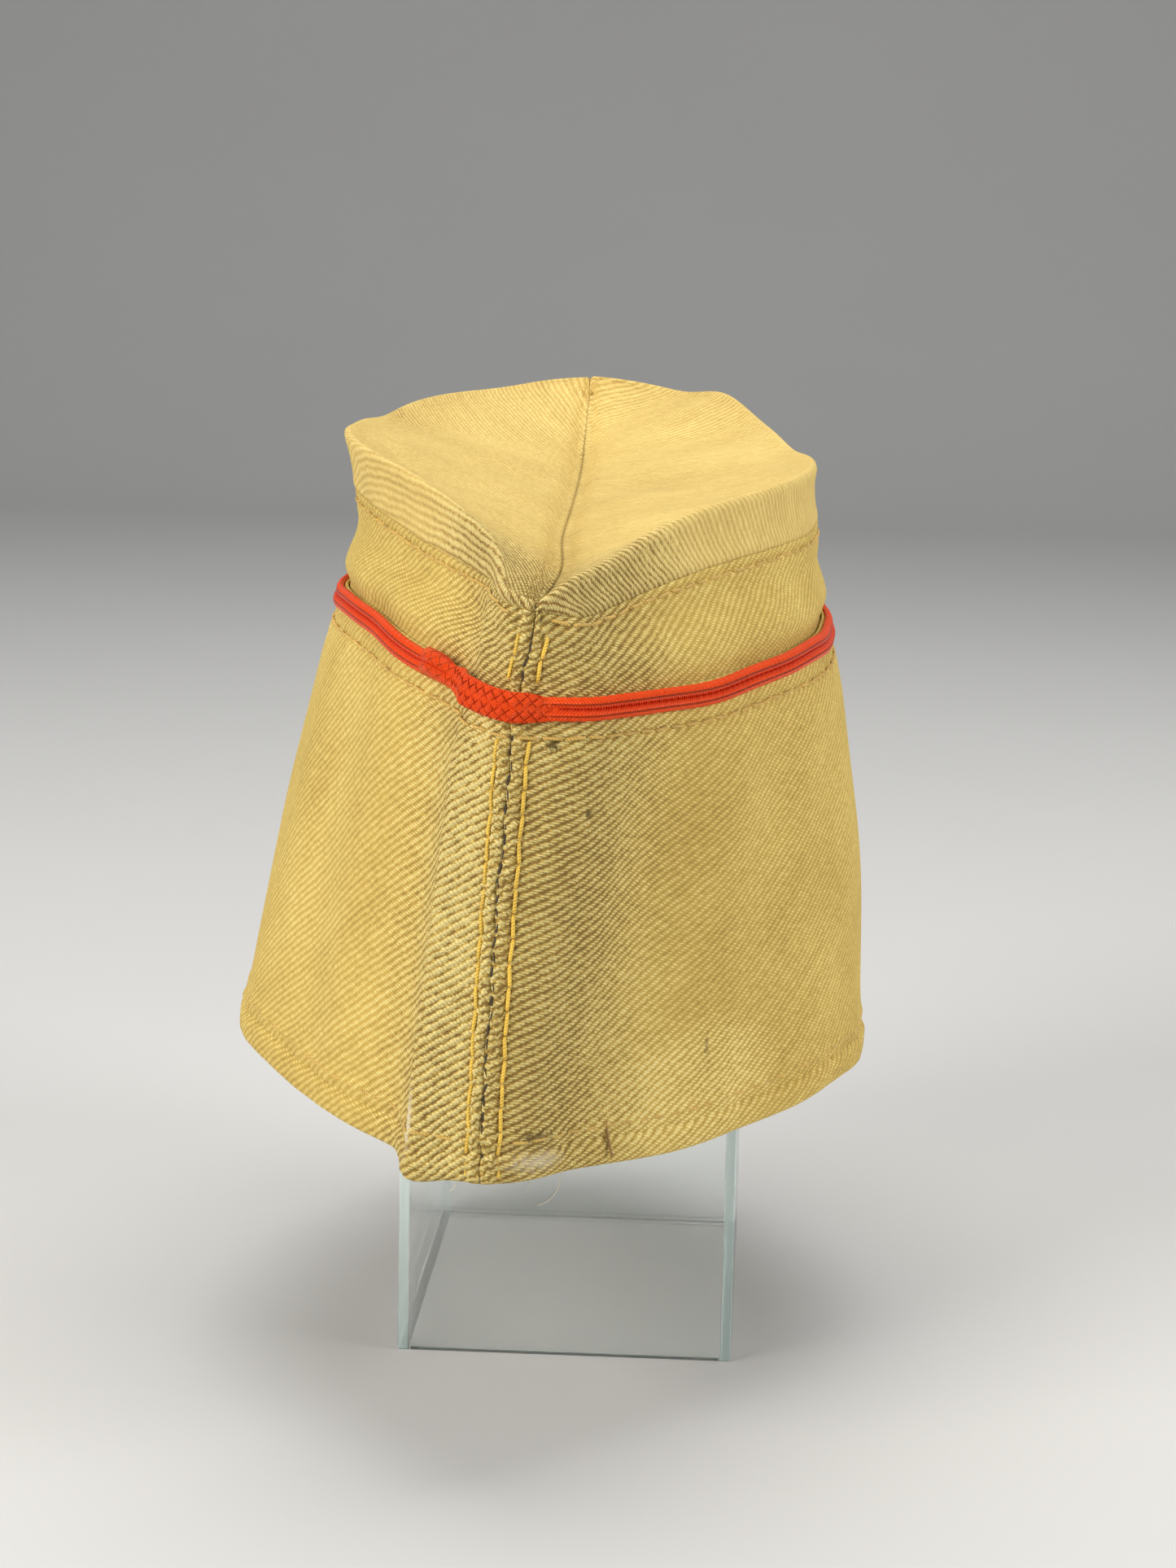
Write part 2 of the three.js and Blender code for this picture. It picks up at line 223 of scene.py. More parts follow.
# Relief beside the seams and across the rows of stitches
SEAM_ROW = 2.5
SEAM_DIP = 0.42
SEAM_DEEPEST = -0.7
SEAM_EDGE = 0.3
SEAM_PUFF = 0.42
SEAM_FADE = (-1.0, 3.0)
GROOVE = 0.36
GROOVE_WIDTH = 0.55
HEM_ROW = 6.5
BRAID_ROW_BELOW = 6.8
RIDGE_ROW_BELOW = 1.7
RIDGE_ROW_HEIGHT = 12.0
ROW_SWELL = 0.14
ROW_SWELL_AT = 1.9
ROW_SWELL_RUN = 1.3
ROW_PUCKER = 0.1
ROW_PUCKER_RUN = 4.5
SLOW_STITCHES = 2.3
SLOW_WANDER = 0.9
SLOW_WAVE = 17

# Puckers beside a seam: strength, wave, wander, slow wave
PUCKERS = (
    (1.0, 0.83, 1.3, 2.9),
    (0.7, 0.47, 2.0, 4.3),
)

# Sideways waver of a seam and of the braid: strength, wave, shift
SEAM_WANDER = ((0.13, 0.9, 0.0), (0.17, 2.3, 0.0), (0.14, 5.1, 1.0))
SEAM_WANDER_RUN = 2.5
BRAID_WAVER = ((0.16, 11.0, 0.0), (0.1, 4.7, 1.0))

# Sideways drift of the near seam, and the keel that it stands out as
SEAM_DRIFT = -1.0
SEAM_DRIFT_RISE = -0.75
SEAM_DRIFT_RUN = 9.0
CROWN_DRIFT = -1.25
CROWN_DRIFT_ROW = 1.8
KEEL = 2.0
KEEL_RUN = 7.0
KEEL_ROW = 2.4
DRIFT_END_ROW = RIDGE_ROW + 0.3

# Braid: two cords side by side
BRAID_DROP = 1.6
BRAID_HALF = 0.75
BRAID_SHIFT = -0.2
CORD_APART = 1.04
CORD_HALF = 1.12
CORD_BEAT = 0.05
CORD_TWIST = 1.9
CORD_WRAP = 1.25

# Braid's plaited end by distance from the near seam, negative on the left: middles and runs of its forms
PLAIT = 2.1
PLAIT_RELIEF = 0.32
PLAIT_LEVEL = 0.4
PLAIT_UNDER = 0.6
END_FIRST = 8.0
END_LAST = -34.0
END_CURL = (-27.5, 3.8)
END_NECK = (-21.5, 2.6)
END_TUCK = (31.5, 34.0)
END_MERGE = (1.0, 8.0)
END_SMOOTH = (20.0, 23.5)
END_FLATNESS = 0.75

# Its half height and half thickness: plain, added at the curl and neck, share lost at the tuck and the start
END_HEIGHT = (2.75, -0.35, -0.7, 0.7, 0.3)
END_THICKNESS = (1.0, 0.9, -0.2, 0.6, 0.6)

# Its place up and out of the wall: plain, and added at the curl, the tuck and the start
END_LIFT = (0.1, 0.75, -0.4, -0.3)
END_PROUD = (0.6, 1.1, -1.9, -0.6)

# Stitches: length and thickness as shares of the pitch and of the thread, and how deep the ends go
STITCH_ROWS = (0.97, 1.0, 0.4)
EDGE_STITCHES = (0.9, 0.9, 0.5)
SEAM_THREADS = (0.5, 0.5, 0.3)
STITCH_SUNK = GROOVE * 0.15
STITCH_BEND = 6
STITCH_PROUD = 0.5
STITCH_THIN = 0.2
STITCH_FLAT = 0.85
STITCH_SWAY = 0.2
STITCH_CHANGE = 2.399
STITCH_TWIST = 1.7
SEAM_SUNK = 0.38
SEAM_PITCH = 0.6
SEAM_START = -0.2
SEAM_BELOW_BRAID = 4.6
CROWN_SEAM_ROWS = (2.12, RIDGE_ROW + 0.2)
EDGE_MARGIN = 0.4
RIDGE_MARGIN = 4.0

# Loose ends of thread: place along and up from the near seam's hem, drop, drift along, stand-off, radius
LOOSE_ENDS = (
    (-5.0, 0.2, 3.4, 1.2, 0.5, 0.07),
    (6.5, 0.2, 3.0, 1.4, 0.4, 0.06),
    (13.5, 0.3, 5.6, 6.5, 0.8, 0.07),
    (-22.0, 0.3, 2.2, -1.0, 0.5, 0.06),
)
BROWN_ENDS = ((23.4, 7.3, 6.2, -0.6, 1.5, 0.3),)
LOOSE_ROOT = 0.1
LOOSE_DRIFT = 2.2
LOOSE_TWIST = 5.0

# Fixed colours of the painted shade in the weave's gaps, of glints, marks and worn thread
WEAVE_GAP_SHADE = (0.225, 0.132, 0.035)
BRAID_GLINT = (1.0, 0.36, 0.22)
DIRT = (0.1, 0.06, 0.018)
WORN = (0.88, 0.8, 0.6)
BROWN = (0.36, 0.2, 0.045)

# Small marks on the turn-up: place along and up from the near seam's hem, half sizes, strength, colour
MARKS = (
    (6.3, 80.0, 1.0, 1.5, 1.0, DIRT),
    (12.4, 67.6, 0.8, 1.1, 0.9, DIRT),
    (7.9, 8.9, 3.8, 1.5, 0.8, DIRT),
    (48.0, 20.4, 0.6, 2.4, 0.5, DIRT),
    (8.4, 4.6, 4.6, 1.9, 0.5, WORN),
    (-13.9, 11.0, 0.9, 6.0, 0.7, WORN),
)

# Paler worn cloth: place along and up from the near seam's lower end, half sizes, gain
WORN_TURN_UP = (
    (-6.0, 42.0, 7.5, 60.0, 0.4),
    (44.0, 12.0, 26.0, 14.0, 0.16),
)
WORN_CROWN = ((-5.0, 10.0, 8.0, 30.0, 0.2),)

# Where the weave's relief fades: value of the place map, shift, first distance, last distance, share left
WALL_CLEAR = (0, 0.0, 7.0, 42.0, 0.34)
TOP_CLEAR = (1, 105.0, 14.0, 45.0, 0.32)

# Noise in the materials, in lumps to the metre, and how it is stretched
WANDER_NOISE = 180.0
CREASE_NOISE = 640.0
GRAIN_NOISE = 2600.0
FUZZ_NOISE = 1350.0
PATCH_NOISE = 38.0
STREAK_STRETCH = (0.5, 0.02, 1.0)
BRAID_NOISE = 3200.0
BRAID_PATCH_NOISE = 120.0
THREAD_NOISE = 260.0
SCUFF_NOISE = 420.0
SCUFF_STRETCH = (1.0, 1.0, 0.12)
EDGE_NOISE = 700.0
EDGE_STRETCH = (1.0, 1.0, 0.06)
FLOOR_NOISE = 6.0

# Depth of the finest relief in metres
TWILL_DEPTH = 0.0005
BRAID_DEPTH = 0.0002
PLY_DEPTH = 0.00008

# Twill: what bends its ribs and staggers its floats, and what makes up its relief
RIB_WANDER = 0.7
RIB_CREASE = 0.45
SEAM_CREASE = 1.5
SEAM_CREASED = (1.6, 3.2)
FLOAT_SLANT = 0.75
FLOAT_STAGGER = 0.37
FLOAT_RELIEF = 0.7
RIB_RELIEF = 0.4
GRAIN_RELIEF = 0.4

# Twill: what makes up the brightness painted into its colour, whose relief share is painted shade in the gaps
# and painted highlight on the rib tops, and the brightness at which the gaps' painted shade turns to cloth
# and cloth to pale
MEAN_RELIEF = 0.34
RELIEF_PAINTED_SHADE = 1.75
YARN_LIGHT = 0.45
FUZZ_LIGHT = 1.2
PATCH_LIGHT = 0.45
STREAK_LIGHT = 0.22
MEAN_LIGHT = 0.54
GAP_SHADE_TO_CLOTH = (-0.15, 0.65)
CLOTH_TO_PALE = (0.55, 1.15)
PALE_MOST = 0.9

# Edges of the rubbed patches and of the small marks, by distance from their middles
RUB_EDGE = (0.5, 1.1)
RUB_RAGGED = 0.6
RUB_WEAVE = 1.4
RUB_LIGHT = 1.2
MARK_EDGE = (0.0, 1.3)
MARK_RAGGED = 2.2

# Slant and pitch of the braid's threads, and twist of the sewing thread's plies
BRAID_SLANT = 0.55
CORD_PITCH = 0.62
PLAIT_PITCH = 0.5
PLY_TWIST = 5.2

# How finely the pieces are drawn
FINE_SEAM = np.concatenate([np.arange(0.0, 5.0, 0.25), 5.0 * 1.12 ** np.arange(10)])
SEAM_CROWDING = 0.92
MIDDLE_STEPS = 120
CURTAIN_STEPS = 170
HEM_STEPS = 11
EDGE_STEPS = 6
INNER_STEPS = 12
CROWN_HIDDEN_ROW = 1.85
CROWN_SHOWN_ROW = 1.9
HIDDEN_STEPS = 8
CROWN_STEPS = 50
INSIDE_STEPS = 24
STRIP_STEPS = 16
FOLD_STEPS = 8
TOP_STEPS = 44
IN_TROUGH = -5
TABLE_STEPS = 1200
HEIGHT_STEPS = 400
ROW_STEPS = 900
LOWER_SEAM_STEPS = 220
UPPER_SEAM_STEPS = 80
BRAID_STEPS = 700
CORD_SIDES = 18
END_STEPS = 500
END_SIDES = 72
STITCH_STEPS = 9
STITCH_SIDES = 8
LOOSE_STEPS = 24
LOOSE_SIDES = 7

# Stand's corners and faces, the axis that each face is square to, and its eased edges
CORNERS = np.array([[0, 0, 0], [1, 0, 0], [1, 1, 0], [0, 1, 0], [0, 0, 1], [1, 0, 1], [1, 1, 1], [0, 1, 1]])
FACES = np.array([[0, 3, 2, 1], [4, 5, 6, 7], [0, 1, 5, 4], [1, 2, 6, 5], [2, 3, 7, 6], [3, 0, 4, 7]])
SQUARE_TO = np.array([2, 2, 1, 0, 1, 0])
EASED = 0.0003

# Stage in metres: floor, lights by place, size and colour, and the room's faint light
FLOOR_NEAR = -3.0
FLOOR_FAR = 1.5
FLOOR_CURVE = 0.7
FLOOR_TOP = 2.6
FLOOR_HALF = 3.5
FLOOR_STEPS = 24
FLOOR_COLUMNS = 8
LIGHT_AIM = (0.0, 0.0, 0.11)
LIGHT_LEVEL = (0.0, 1.0, 0.01)
LIGHTS = {
    "key": ((-0.84, -0.83, 0.64), 0.8, (1.0, 0.97, 0.92)),
    "fill": ((1.15, -0.3, 0.6), 0.8, (1.0, 0.98, 0.95)),
    "sky": ((0.0, 0.3, 1.3), 1.1, (1.0, 0.99, 0.97)),
}
ROOM_COLOUR = (0.93, 0.96, 1.0, 1.0)
ROOM_STRENGTH = 0.16

# Photograph's camera
CAMERA_EYE = (0.0424, -0.7061, 0.2404)
CAMERA_TURN = math.radians(3.0)
CAMERA_PITCH = math.radians(10.5)
CAMERA_ROLL = math.radians(1.15)
CAMERA_LENS = 80.05
CAMERA_SENSOR = 36.0
CAMERA_CLIP = 0.01


def level_value(column, row):
    """Catmull-Rom curve through one column of LEVELS at fractional rows, with straight ends."""
    knots = np.array(LEVELS[column])
    padded = np.concatenate([[2 * knots[0] - knots[1]], knots, [2 * knots[-1] - knots[-2]]])
    row = np.asarray(row, float)
    i = np.clip(np.floor(row).astype(int), 0, len(knots) - 2)
    t = row - i
    a, b, c, d = padded[i], padded[i + 1], padded[i + 2], padded[i + 3]
    return b + 0.5 * t * (c - a + t * (2 * a - 5 * b + 4 * c - d + t * (3 * (b - c) + d - a)))


def fade(low, high, value):
    """Smooth step from 0 at low to 1 at high."""
    t = np.clip((value - low) / (high - low), 0.0, 1.0)
    return t * t * (3 - 2 * t)


def window(value, low, full, fading, gone):
    """Smooth step up between two values and down again between two more."""
    return fade(low, full, value) * (1 - fade(fading, gone, value))


def bell(distance, width):
    """exp(-(distance / width) ** 2)."""
    return np.exp(-((distance / width) ** 2))


def ripple(waves, along):
    """Sum of sines of a length, each strength * sin(length / wave + shift)."""
    return sum(strength * np.sin(along / wave + shift) for strength, wave, shift in waves)


def unit(vectors):
    """Vectors divided by their lengths."""
    return vectors / np.maximum(np.linalg.norm(vectors, axis=-1, keepdims=True), 1e-9)


def ring_angles(sides):
    """Angles round a closed ring."""
    return np.linspace(0, FULL_TURN, sides, endpoint=False)


def paired(first, second):
    """Two arrays broadcast to one list of pairs."""
    return np.stack(np.broadcast_arrays(first, second), axis=-1).reshape(-1, 2)


def carried(middle, up, out, lift, reach):
    """Profile carried along a path: middle + up * lift + out * reach, by path point and profile point."""
    return middle[:, None, :] + up[:, None, :] * lift[..., None] + out[:, None, :] * reach[..., None]


def turned_out(angle, turn):
    """Share of the blunt nose reached at an angle from a seam: 1 - exp(-(angle / turn) ** bend)."""
    return 1 - np.exp(-((np.abs(angle) / turn) ** NOSE_BEND))


def bare_wall(side, angle, row):
    """Wall without folds: x = half width * sin ** power plus the noses, y = -reach * cos, and z between the
    heights at the ends and the middle, plus a bell for each wave of the rim, the braid's line and the hem."""
    cos = np.cos(angle)
    sin = np.maximum(np.sin(angle), 0.0)
    near = cos > 0
    reach = np.where(near, level_value("near", row), level_value("far", row))
    power = np.where(near, level_value("near_power", row), level_value("far_power", row))
    nose = level_value("nose_left" if side < 0 else "nose_right", row)
    half = level_value("half", row) * sin ** power
    to_rim = fade(RIM_START, RIM_ROW, row)
    turn = NOSE_TURN + (NOSE_TURN_RIM - NOSE_TURN) * to_rim * (side > 0)
    half = half + nose * turned_out(angle, turn) * (1 + cos) / 2
    half = half + NOSE_FAR * turned_out(math.pi - angle, NOSE_TURN) * (1 - cos) / 2
    end = np.where(near, level_value("near_height", row), level_value("far_height", row))
    height = end + (level_value("mid_height", row) - end) * sin ** HEIGHT_BEND
    edges = (
        (RIM_WAVES, to_rim),
        (BRAID_WAVES, bell(row - BRAID_ROW, BRAID_WAVE_ROWS)),
        (HEM_WAVES, 1 - fade(0.0, HEM_WAVE_ROW, row)),
    )
    for waves, share in edges:
        for wave_side, middle, width, lift in waves:
            if wave_side == side:
                height = height + lift * bell(angle - middle, width) * share
    return np.stack(np.broadcast_arrays(side * (half + SEAM_GAP / 2), -reach * cos, height), axis=-1)


def wall_normal(side, angle, row):
    """Cross product of the wall's directions along the angle and up the rows, pointing out of the cap."""
    angle, row = np.broadcast_arrays(np.asarray(angle, float), np.asarray(row, float))
    turn = 0.004
    lift = 0.02
    along = bare_wall(side, angle + turn, row) - bare_wall(side, angle - turn, row)
    across = np.zeros_like(along)
    across[..., 0] = side * np.where(angle < math.pi / 2, 1.0, -1.0)
    at_seam = (angle < turn) | (angle > math.pi - turn)
    along = np.where(at_seam[..., None], across, along)
    up = bare_wall(side, angle, row + lift) - bare_wall(side, angle, row - lift)
    return unit(side * np.cross(along, up))


def fold_push(side, angle, row):
    """Sum of the folds, each push * window(row) * bell(angle - middle), calmed at the braid, of the swells
    above and at the braid, which go with sin(angle) ** 2, and of fine wrinkles away from the seams."""
    push = np.zeros(np.broadcast(angle, row).shape)
    for fold_side, hem, rim, first, last, width, depth in FOLDS:
        if fold_side == side:
            middle = hem + (rim - hem) * row / RIM_ROW
            push = push + depth * window(row, first, first + 1, last - 1, last) * bell(angle - middle, width)
    push = push * (1 - BRAID_CALM * bell(row - BRAID_ROW, BRAID_CALM_ROWS))
    swell = WAIST_SWELL * window(row, *WAIST_ROWS) * (1 + FAR_SWELL * fade(*FAR_SWELL_FROM, -np.cos(angle)))
    most, middle, width = BRAID_SWELL[side]
    swell = (swell + most * bell(row - middle, width)) * np.sin(angle) ** 2
    rough = (1 - bell(angle, SMOOTH_ANGLE)) * (1 - bell(math.pi - angle, SMOOTH_ANGLE))
    wrinkles = sum(
        strength * np.sin(waves * angle + slant * row + shift * side) * np.sin(rise * row + start)
        for strength, waves, slant, shift, rise, start in WRINKLES
    )
    return push + swell + rough * wrinkles


def wall_point(side, angle, row, offset):
    """Point at a distance outside the crown's outer face."""
    push = fold_push(side, angle, row) + offset
    return bare_wall(side, angle, row) + wall_normal(side, angle, row) * push[..., None]


def settle(points):
    """Leaning, bowed cap: x gains a bow that fades to the ends and a lean that grows with height."""
    x, y, z = np.moveaxis(points, -1, 0)
    t = y / REACH
    lean = LEAN_NEAR + (LEAN_FAR - LEAN_NEAR) * np.maximum((1 + t) / 2, 0) ** LEAN_FADE
    bowed = x + (BOW + TOP_BOW * (z / BOW_HEIGHT) ** 2) * (1 - t * t)
    curl = 1 - LEAN_CURL + LEAN_CURL * z / LEAN_HEIGHT
    return np.stack([bowed + z * lean * curl + FRAME_SHIFT, y, HEM_HEIGHT + z - bowed * lean], axis=-1)


def lengths_along(points, axis):
    """Length from the first point of each line of points along an axis."""
    steps = np.linalg.norm(np.diff(points, axis=axis), axis=-1)
    start = np.zeros_like(np.take(steps, [0], axis=axis))
    return np.concatenate([start, np.cumsum(steps, axis=axis)], axis=axis)


def seam_table(side, rows):
    """Fine angles, crowded at both seams, and each row's length from the near seam to each of them."""
    t = np.linspace(0, 1, TABLE_STEPS)
    angles = math.pi * (t - SEAM_CROWDING * np.sin(FULL_TURN * t) / FULL_TURN)
    return angles, lengths_along(wall_point(side, angles[None, :], rows[:, None], 0.0), 1)


def angles_at(side, rows, distances):
    """Angles that lie at given distances from the near seam along each row."""
    angles, lengths = seam_table(side, rows)
    return np.stack([np.interp(d, s, angles) for d, s in zip(distances, lengths)])


def row_lengths(side, rows):
    """Length of each row from the near seam to the far seam."""
    return seam_table(side, rows)[1][:, -1]


def along_row(side, row, margin, count):
    """Even distances from the near seam along a row, short of both seams by a margin, and their angles."""
    rows = np.array([row])
    distances = np.linspace(margin, row_lengths(side, rows)[0] - margin, count)
    return distances, angles_at(side, rows, distances[None, :])[0]


def spread(lengths):
    """Distances for rows of these lengths: fine steps near both seams and even ones between them."""
    start = FINE_SEAM[-1]
    share = np.linspace(0, 1, MIDDLE_STEPS + 1)[1:-1]
    near = np.broadcast_to(FINE_SEAM, (len(lengths), len(FINE_SEAM)))
    between = start + (lengths[:, None] - 2 * start) * share
    return np.concatenate([near, between, lengths[:, None] - near[:, ::-1]], axis=1)


def rows_at(heights):
    """Rows at given lengths up the near seam from the hem, carried on straight below it."""
    heights = np.asarray(heights, float)
    rows = np.linspace(0, RIM_ROW, 2 * HEIGHT_STEPS)
    lengths = lengths_along(wall_point(1, 0.0, rows, 0.0), 0)
    return np.where(heights < 0, heights * rows[1] / lengths[1], np.interp(heights, lengths, rows))


def height_of(row):
    """Length up the near seam from the hem to a row."""
    rows = np.linspace(0, row, HEIGHT_STEPS)
    return lengths_along(wall_point(1, 0.0, rows, 0.0), 0)[-1]


def ridge_row(side, angle):
    """Row of the ridge seam, which rises to the notch by rise * exp(-(angle / turn) ** power)."""
    return RIDGE_ROW + RIDGE_RISE_AT_NOTCH * np.exp(-((angle / RIDGE_TURN[side]) ** RIDGE_POWER[side]))


def valley_height(y):
    """Trough's seam: a lip that rises from the notch, a gentle slope and a kick up at the far end."""
    run = y + LEVELS["near"][-1] - VALLEY_INSET
    length = LEVELS["near"][-1] + LEVELS["far"][-1] - 2 * VALLEY_INSET
    rise = VALLEY_LIP * (1 - np.exp(-run / VALLEY_LIP_RUN)) + VALLEY_SLOPE * run
    return VALLEY_START + rise + VALLEY_KICK * np.maximum(run / length, 0) ** VALLEY_KICK_POWER


def groove(distance, beat):
    """Depth that a row of stitches draws in: a bell of the distance that varies with each stitch."""
    return GROOVE * bell(distance, GROOVE_WIDTH) * (0.8 - 0.2 * beat)


def seam_relief(distance, height, pitch):
    """Cloth beside a seam: a bell turns it down into the seam, a squared sine swells it as far as the row of
    stitches, and the row draws it in. Puckers, sines whose phase wanders, vary the first two."""
    beat = np.cos(FULL_TURN * height / pitch)
    pucker = sum(
        strength * np.sin(height / wave + wander * np.sin(height / slow))
        for strength, wave, wander, slow in PUCKERS
    )
    swell = SEAM_PUFF * np.sin(math.pi * np.clip(distance / SEAM_ROW, 0, 1)) ** 2
    swell = swell * (0.7 + 0.3 * beat + 0.5 * pucker)
    dip = SEAM_DIP * bell(distance, SEAM_EDGE) * (1 + 0.3 * pucker)
    return swell - groove(distance - SEAM_ROW, beat) - dip


def row_relief(distance, along, pitch):
    """Cloth across a row of stitches: a groove with a swell on each side and slow puckers along it."""
    beat = np.cos(FULL_TURN * along / pitch)
    slow = np.sin(FULL_TURN * along / (SLOW_STITCHES * pitch) + SLOW_WANDER * np.sin(along / SLOW_WAVE))
    swell = ROW_SWELL * bell(np.abs(distance) - ROW_SWELL_AT, ROW_SWELL_RUN) * (1 + 0.4 * beat)
    return swell + ROW_PUCKER * slow * bell(distance, ROW_PUCKER_RUN) - groove(distance, beat)


def prow(drift, distance, keel=1.0):
    """Shift of the cloth beside the near seam: sideways by a bell of the drift and forwards to a keel."""
    aside = drift * bell(distance, SEAM_DRIFT_RUN)
    ahead = -KEEL * keel * np.exp(-distance / KEEL_RUN)
    return np.stack(np.broadcast_arrays(aside, ahead, 0.0), axis=-1)


def curtain_shift(rise, distance):
    """Shift of the turn-up beside its near seam, with a drift that grows with the square of its rise."""
    return prow(SEAM_DRIFT + SEAM_DRIFT_RISE * rise ** 2, distance)


def crown_shift(rows, distance):
    """Shift of the crown beside its near seam, with a drift and a keel that die away towards the ridge."""
    drift = CROWN_DRIFT * (1 - fade(CROWN_DRIFT_ROW, DRIFT_END_ROW, rows))
    return prow(drift, distance, 1 - fade(KEEL_ROW, DRIFT_END_ROW, rows))


def curtain_face(height, top):
    """Offset of the turn-up's face, which thins towards its top edge."""
    return GAP + CURTAIN - TOP_TAPER * fade(top - TAPER_RUN, top - TAPER_END, height)


def curtain_sections(side, sizes):
    """Sections of one half of the turn-up, from the hem's half circle up its face, over a thinner half circle
    at its top edge and down inside.

    Returns points by place and section, with the length of each from the near seam and from the hem."""
    pitch = sizes.stitch_pitch / MM
    radius = (GAP + CURTAIN + WALL) / 2
    middle = (GAP + CURTAIN - WALL) / 2
    top = height_of(BRAID_ROW)
    edge = (CURTAIN - TOP_TAPER) / 2
    turn = np.linspace(math.pi, 0, HEM_STEPS)
    tip = np.linspace(0, math.pi, EDGE_STEPS)[1:-1]
    face_heights = np.linspace(radius - HEM_SAG, top - edge, CURTAIN_STEPS)[1:]
    heights = np.concatenate([
        radius * (1 - np.sin(turn)) - HEM_SAG,
        face_heights,
        top - edge * (1 - np.sin(tip)),
        np.linspace(top - edge, HEM_LIP, INNER_STEPS),
    ])
    offsets = np.concatenate([
        middle + radius * np.cos(turn),
        curtain_face(face_heights, top),
        GAP + edge * (1 + np.cos(tip)),
        np.full(INNER_STEPS, GAP),
    ])[:, None]
    rows = rows_at(heights)
    lengths = row_lengths(side, rows)
    from_near = spread(lengths)
    angles = angles_at(side, rows, from_near)
    from_far = lengths[:, None] - from_near
    rows = rows[:, None]
    up = lengths_along(wall_point(side, angles, rows, offsets), 0)
    bottom = HEM_STEPS // 2
    last = HEM_STEPS + CURTAIN_STEPS - 2
    up = up - up[bottom:bottom + 1]
    face = np.zeros_like(rows)
    face[bottom:last + 1] = 1
    relief = seam_relief(from_near, up, pitch) + seam_relief(from_far, up, pitch)
    relief = relief * fade(*SEAM_FADE, up)
    relief = relief + HEM_RELIEF * row_relief(up - HEM_ROW, from_near, pitch)
    relief = relief + row_relief(up[last] - up - BRAID_ROW_BELOW, from_near, pitch)
    relief = relief + HEM_ROLL * bell(up - HEM_ROLL_AT, HEM_ROLL_RUN)
    relief = relief + HEM_DOUBLE * (1 - fade(*HEM_DOUBLE_FADE, up))
    points = wall_point(side, angles, rows, offsets + face * relief)
    to_seam = np.minimum(from_near, from_far)
    points[..., 0] += face * ripple(SEAM_WANDER, up) * bell(to_seam, SEAM_WANDER_RUN)
    points = points + curtain_shift((heights / top)[:, None], from_near)
    if side < 0:
        low = 1 - fade(0.0, HEM_CORNER_HEIGHT, heights)[:, None]
        points[..., 2] -= HEM_CORNER * bell(from_near - HEM_CORNER_AT, HEM_CORNER_RUN) * low
    place = np.stack([side * from_near, up], axis=-1)
    return settle(points).swapaxes(0, 1), place.swapaxes(0, 1)


def crown_sections(side, sizes):
    """Sections of one half of the crown wall, up its outer face to the ridge seam and down its inside.

    Above the turn-up's edge the cloth laps out over it by a window of the rows times sin(angle) ** 2."""
    pitch = sizes.stitch_pitch / MM
    lowest = rows_at(HEM_LIP + GAP)
    hidden = np.linspace(lowest, CROWN_HIDDEN_ROW, HIDDEN_STEPS)
    shown = np.linspace(CROWN_SHOWN_ROW, RIDGE_ROW, CROWN_STEPS)
    inside = np.linspace(RIDGE_ROW, lowest, INSIDE_STEPS)
    nominal = np.concatenate([hidden, shown, inside])
    lengths = row_lengths(side, nominal)
    from_near = spread(lengths)
    from_far = lengths[:, None] - from_near
    angles = angles_at(side, nominal, from_near)
    share = fade(CROWN_SHOWN_ROW, RIDGE_ROW, nominal)[:, None]
    rows = nominal[:, None] + share * (ridge_row(side, angles) - RIDGE_ROW)
    counts = (HIDDEN_STEPS, CROWN_STEPS, INSIDE_STEPS)
    offsets = np.repeat((0.0, 0.0, -WALL), counts)[:, None]
    face = np.repeat((0.0, 1.0, 0.0), counts)[:, None]
    up = lengths_along(wall_point(side, angles, rows, 0.0), 0)
    below = up[HIDDEN_STEPS + CROWN_STEPS - 1] - up
    relief = seam_relief(from_near, up, pitch) + seam_relief(from_far, up, pitch)
    relief = np.maximum(relief, SEAM_DEEPEST)
    relief = relief + CROWN_LAP * window(rows, *CROWN_LAP_ROWS) * np.sin(angles) ** 2
    relief = relief + row_relief(below - RIDGE_ROW_BELOW, from_near, pitch)
    relief = relief - RIDGE_DIP * bell(below, CROWN_DIP_RUN)
    points = wall_point(side, angles, rows, offsets + face * relief)
    points = points + crown_shift(rows, from_near)
    place = np.stack([side * from_near, up], axis=-1)
    return settle(points).swapaxes(0, 1), place.swapaxes(0, 1)


def grid_normals(points):
    """Directions square to a grid of points, from the cross product of its two differences."""
    return unit(np.cross(np.gradient(points, axis=0), np.gradient(points, axis=1)))


def rim_point(rim, inward, across, rise):
    """Points at distances in from the rim and above it."""
    return rim + inward * across[..., None] + UP * rise[..., None]


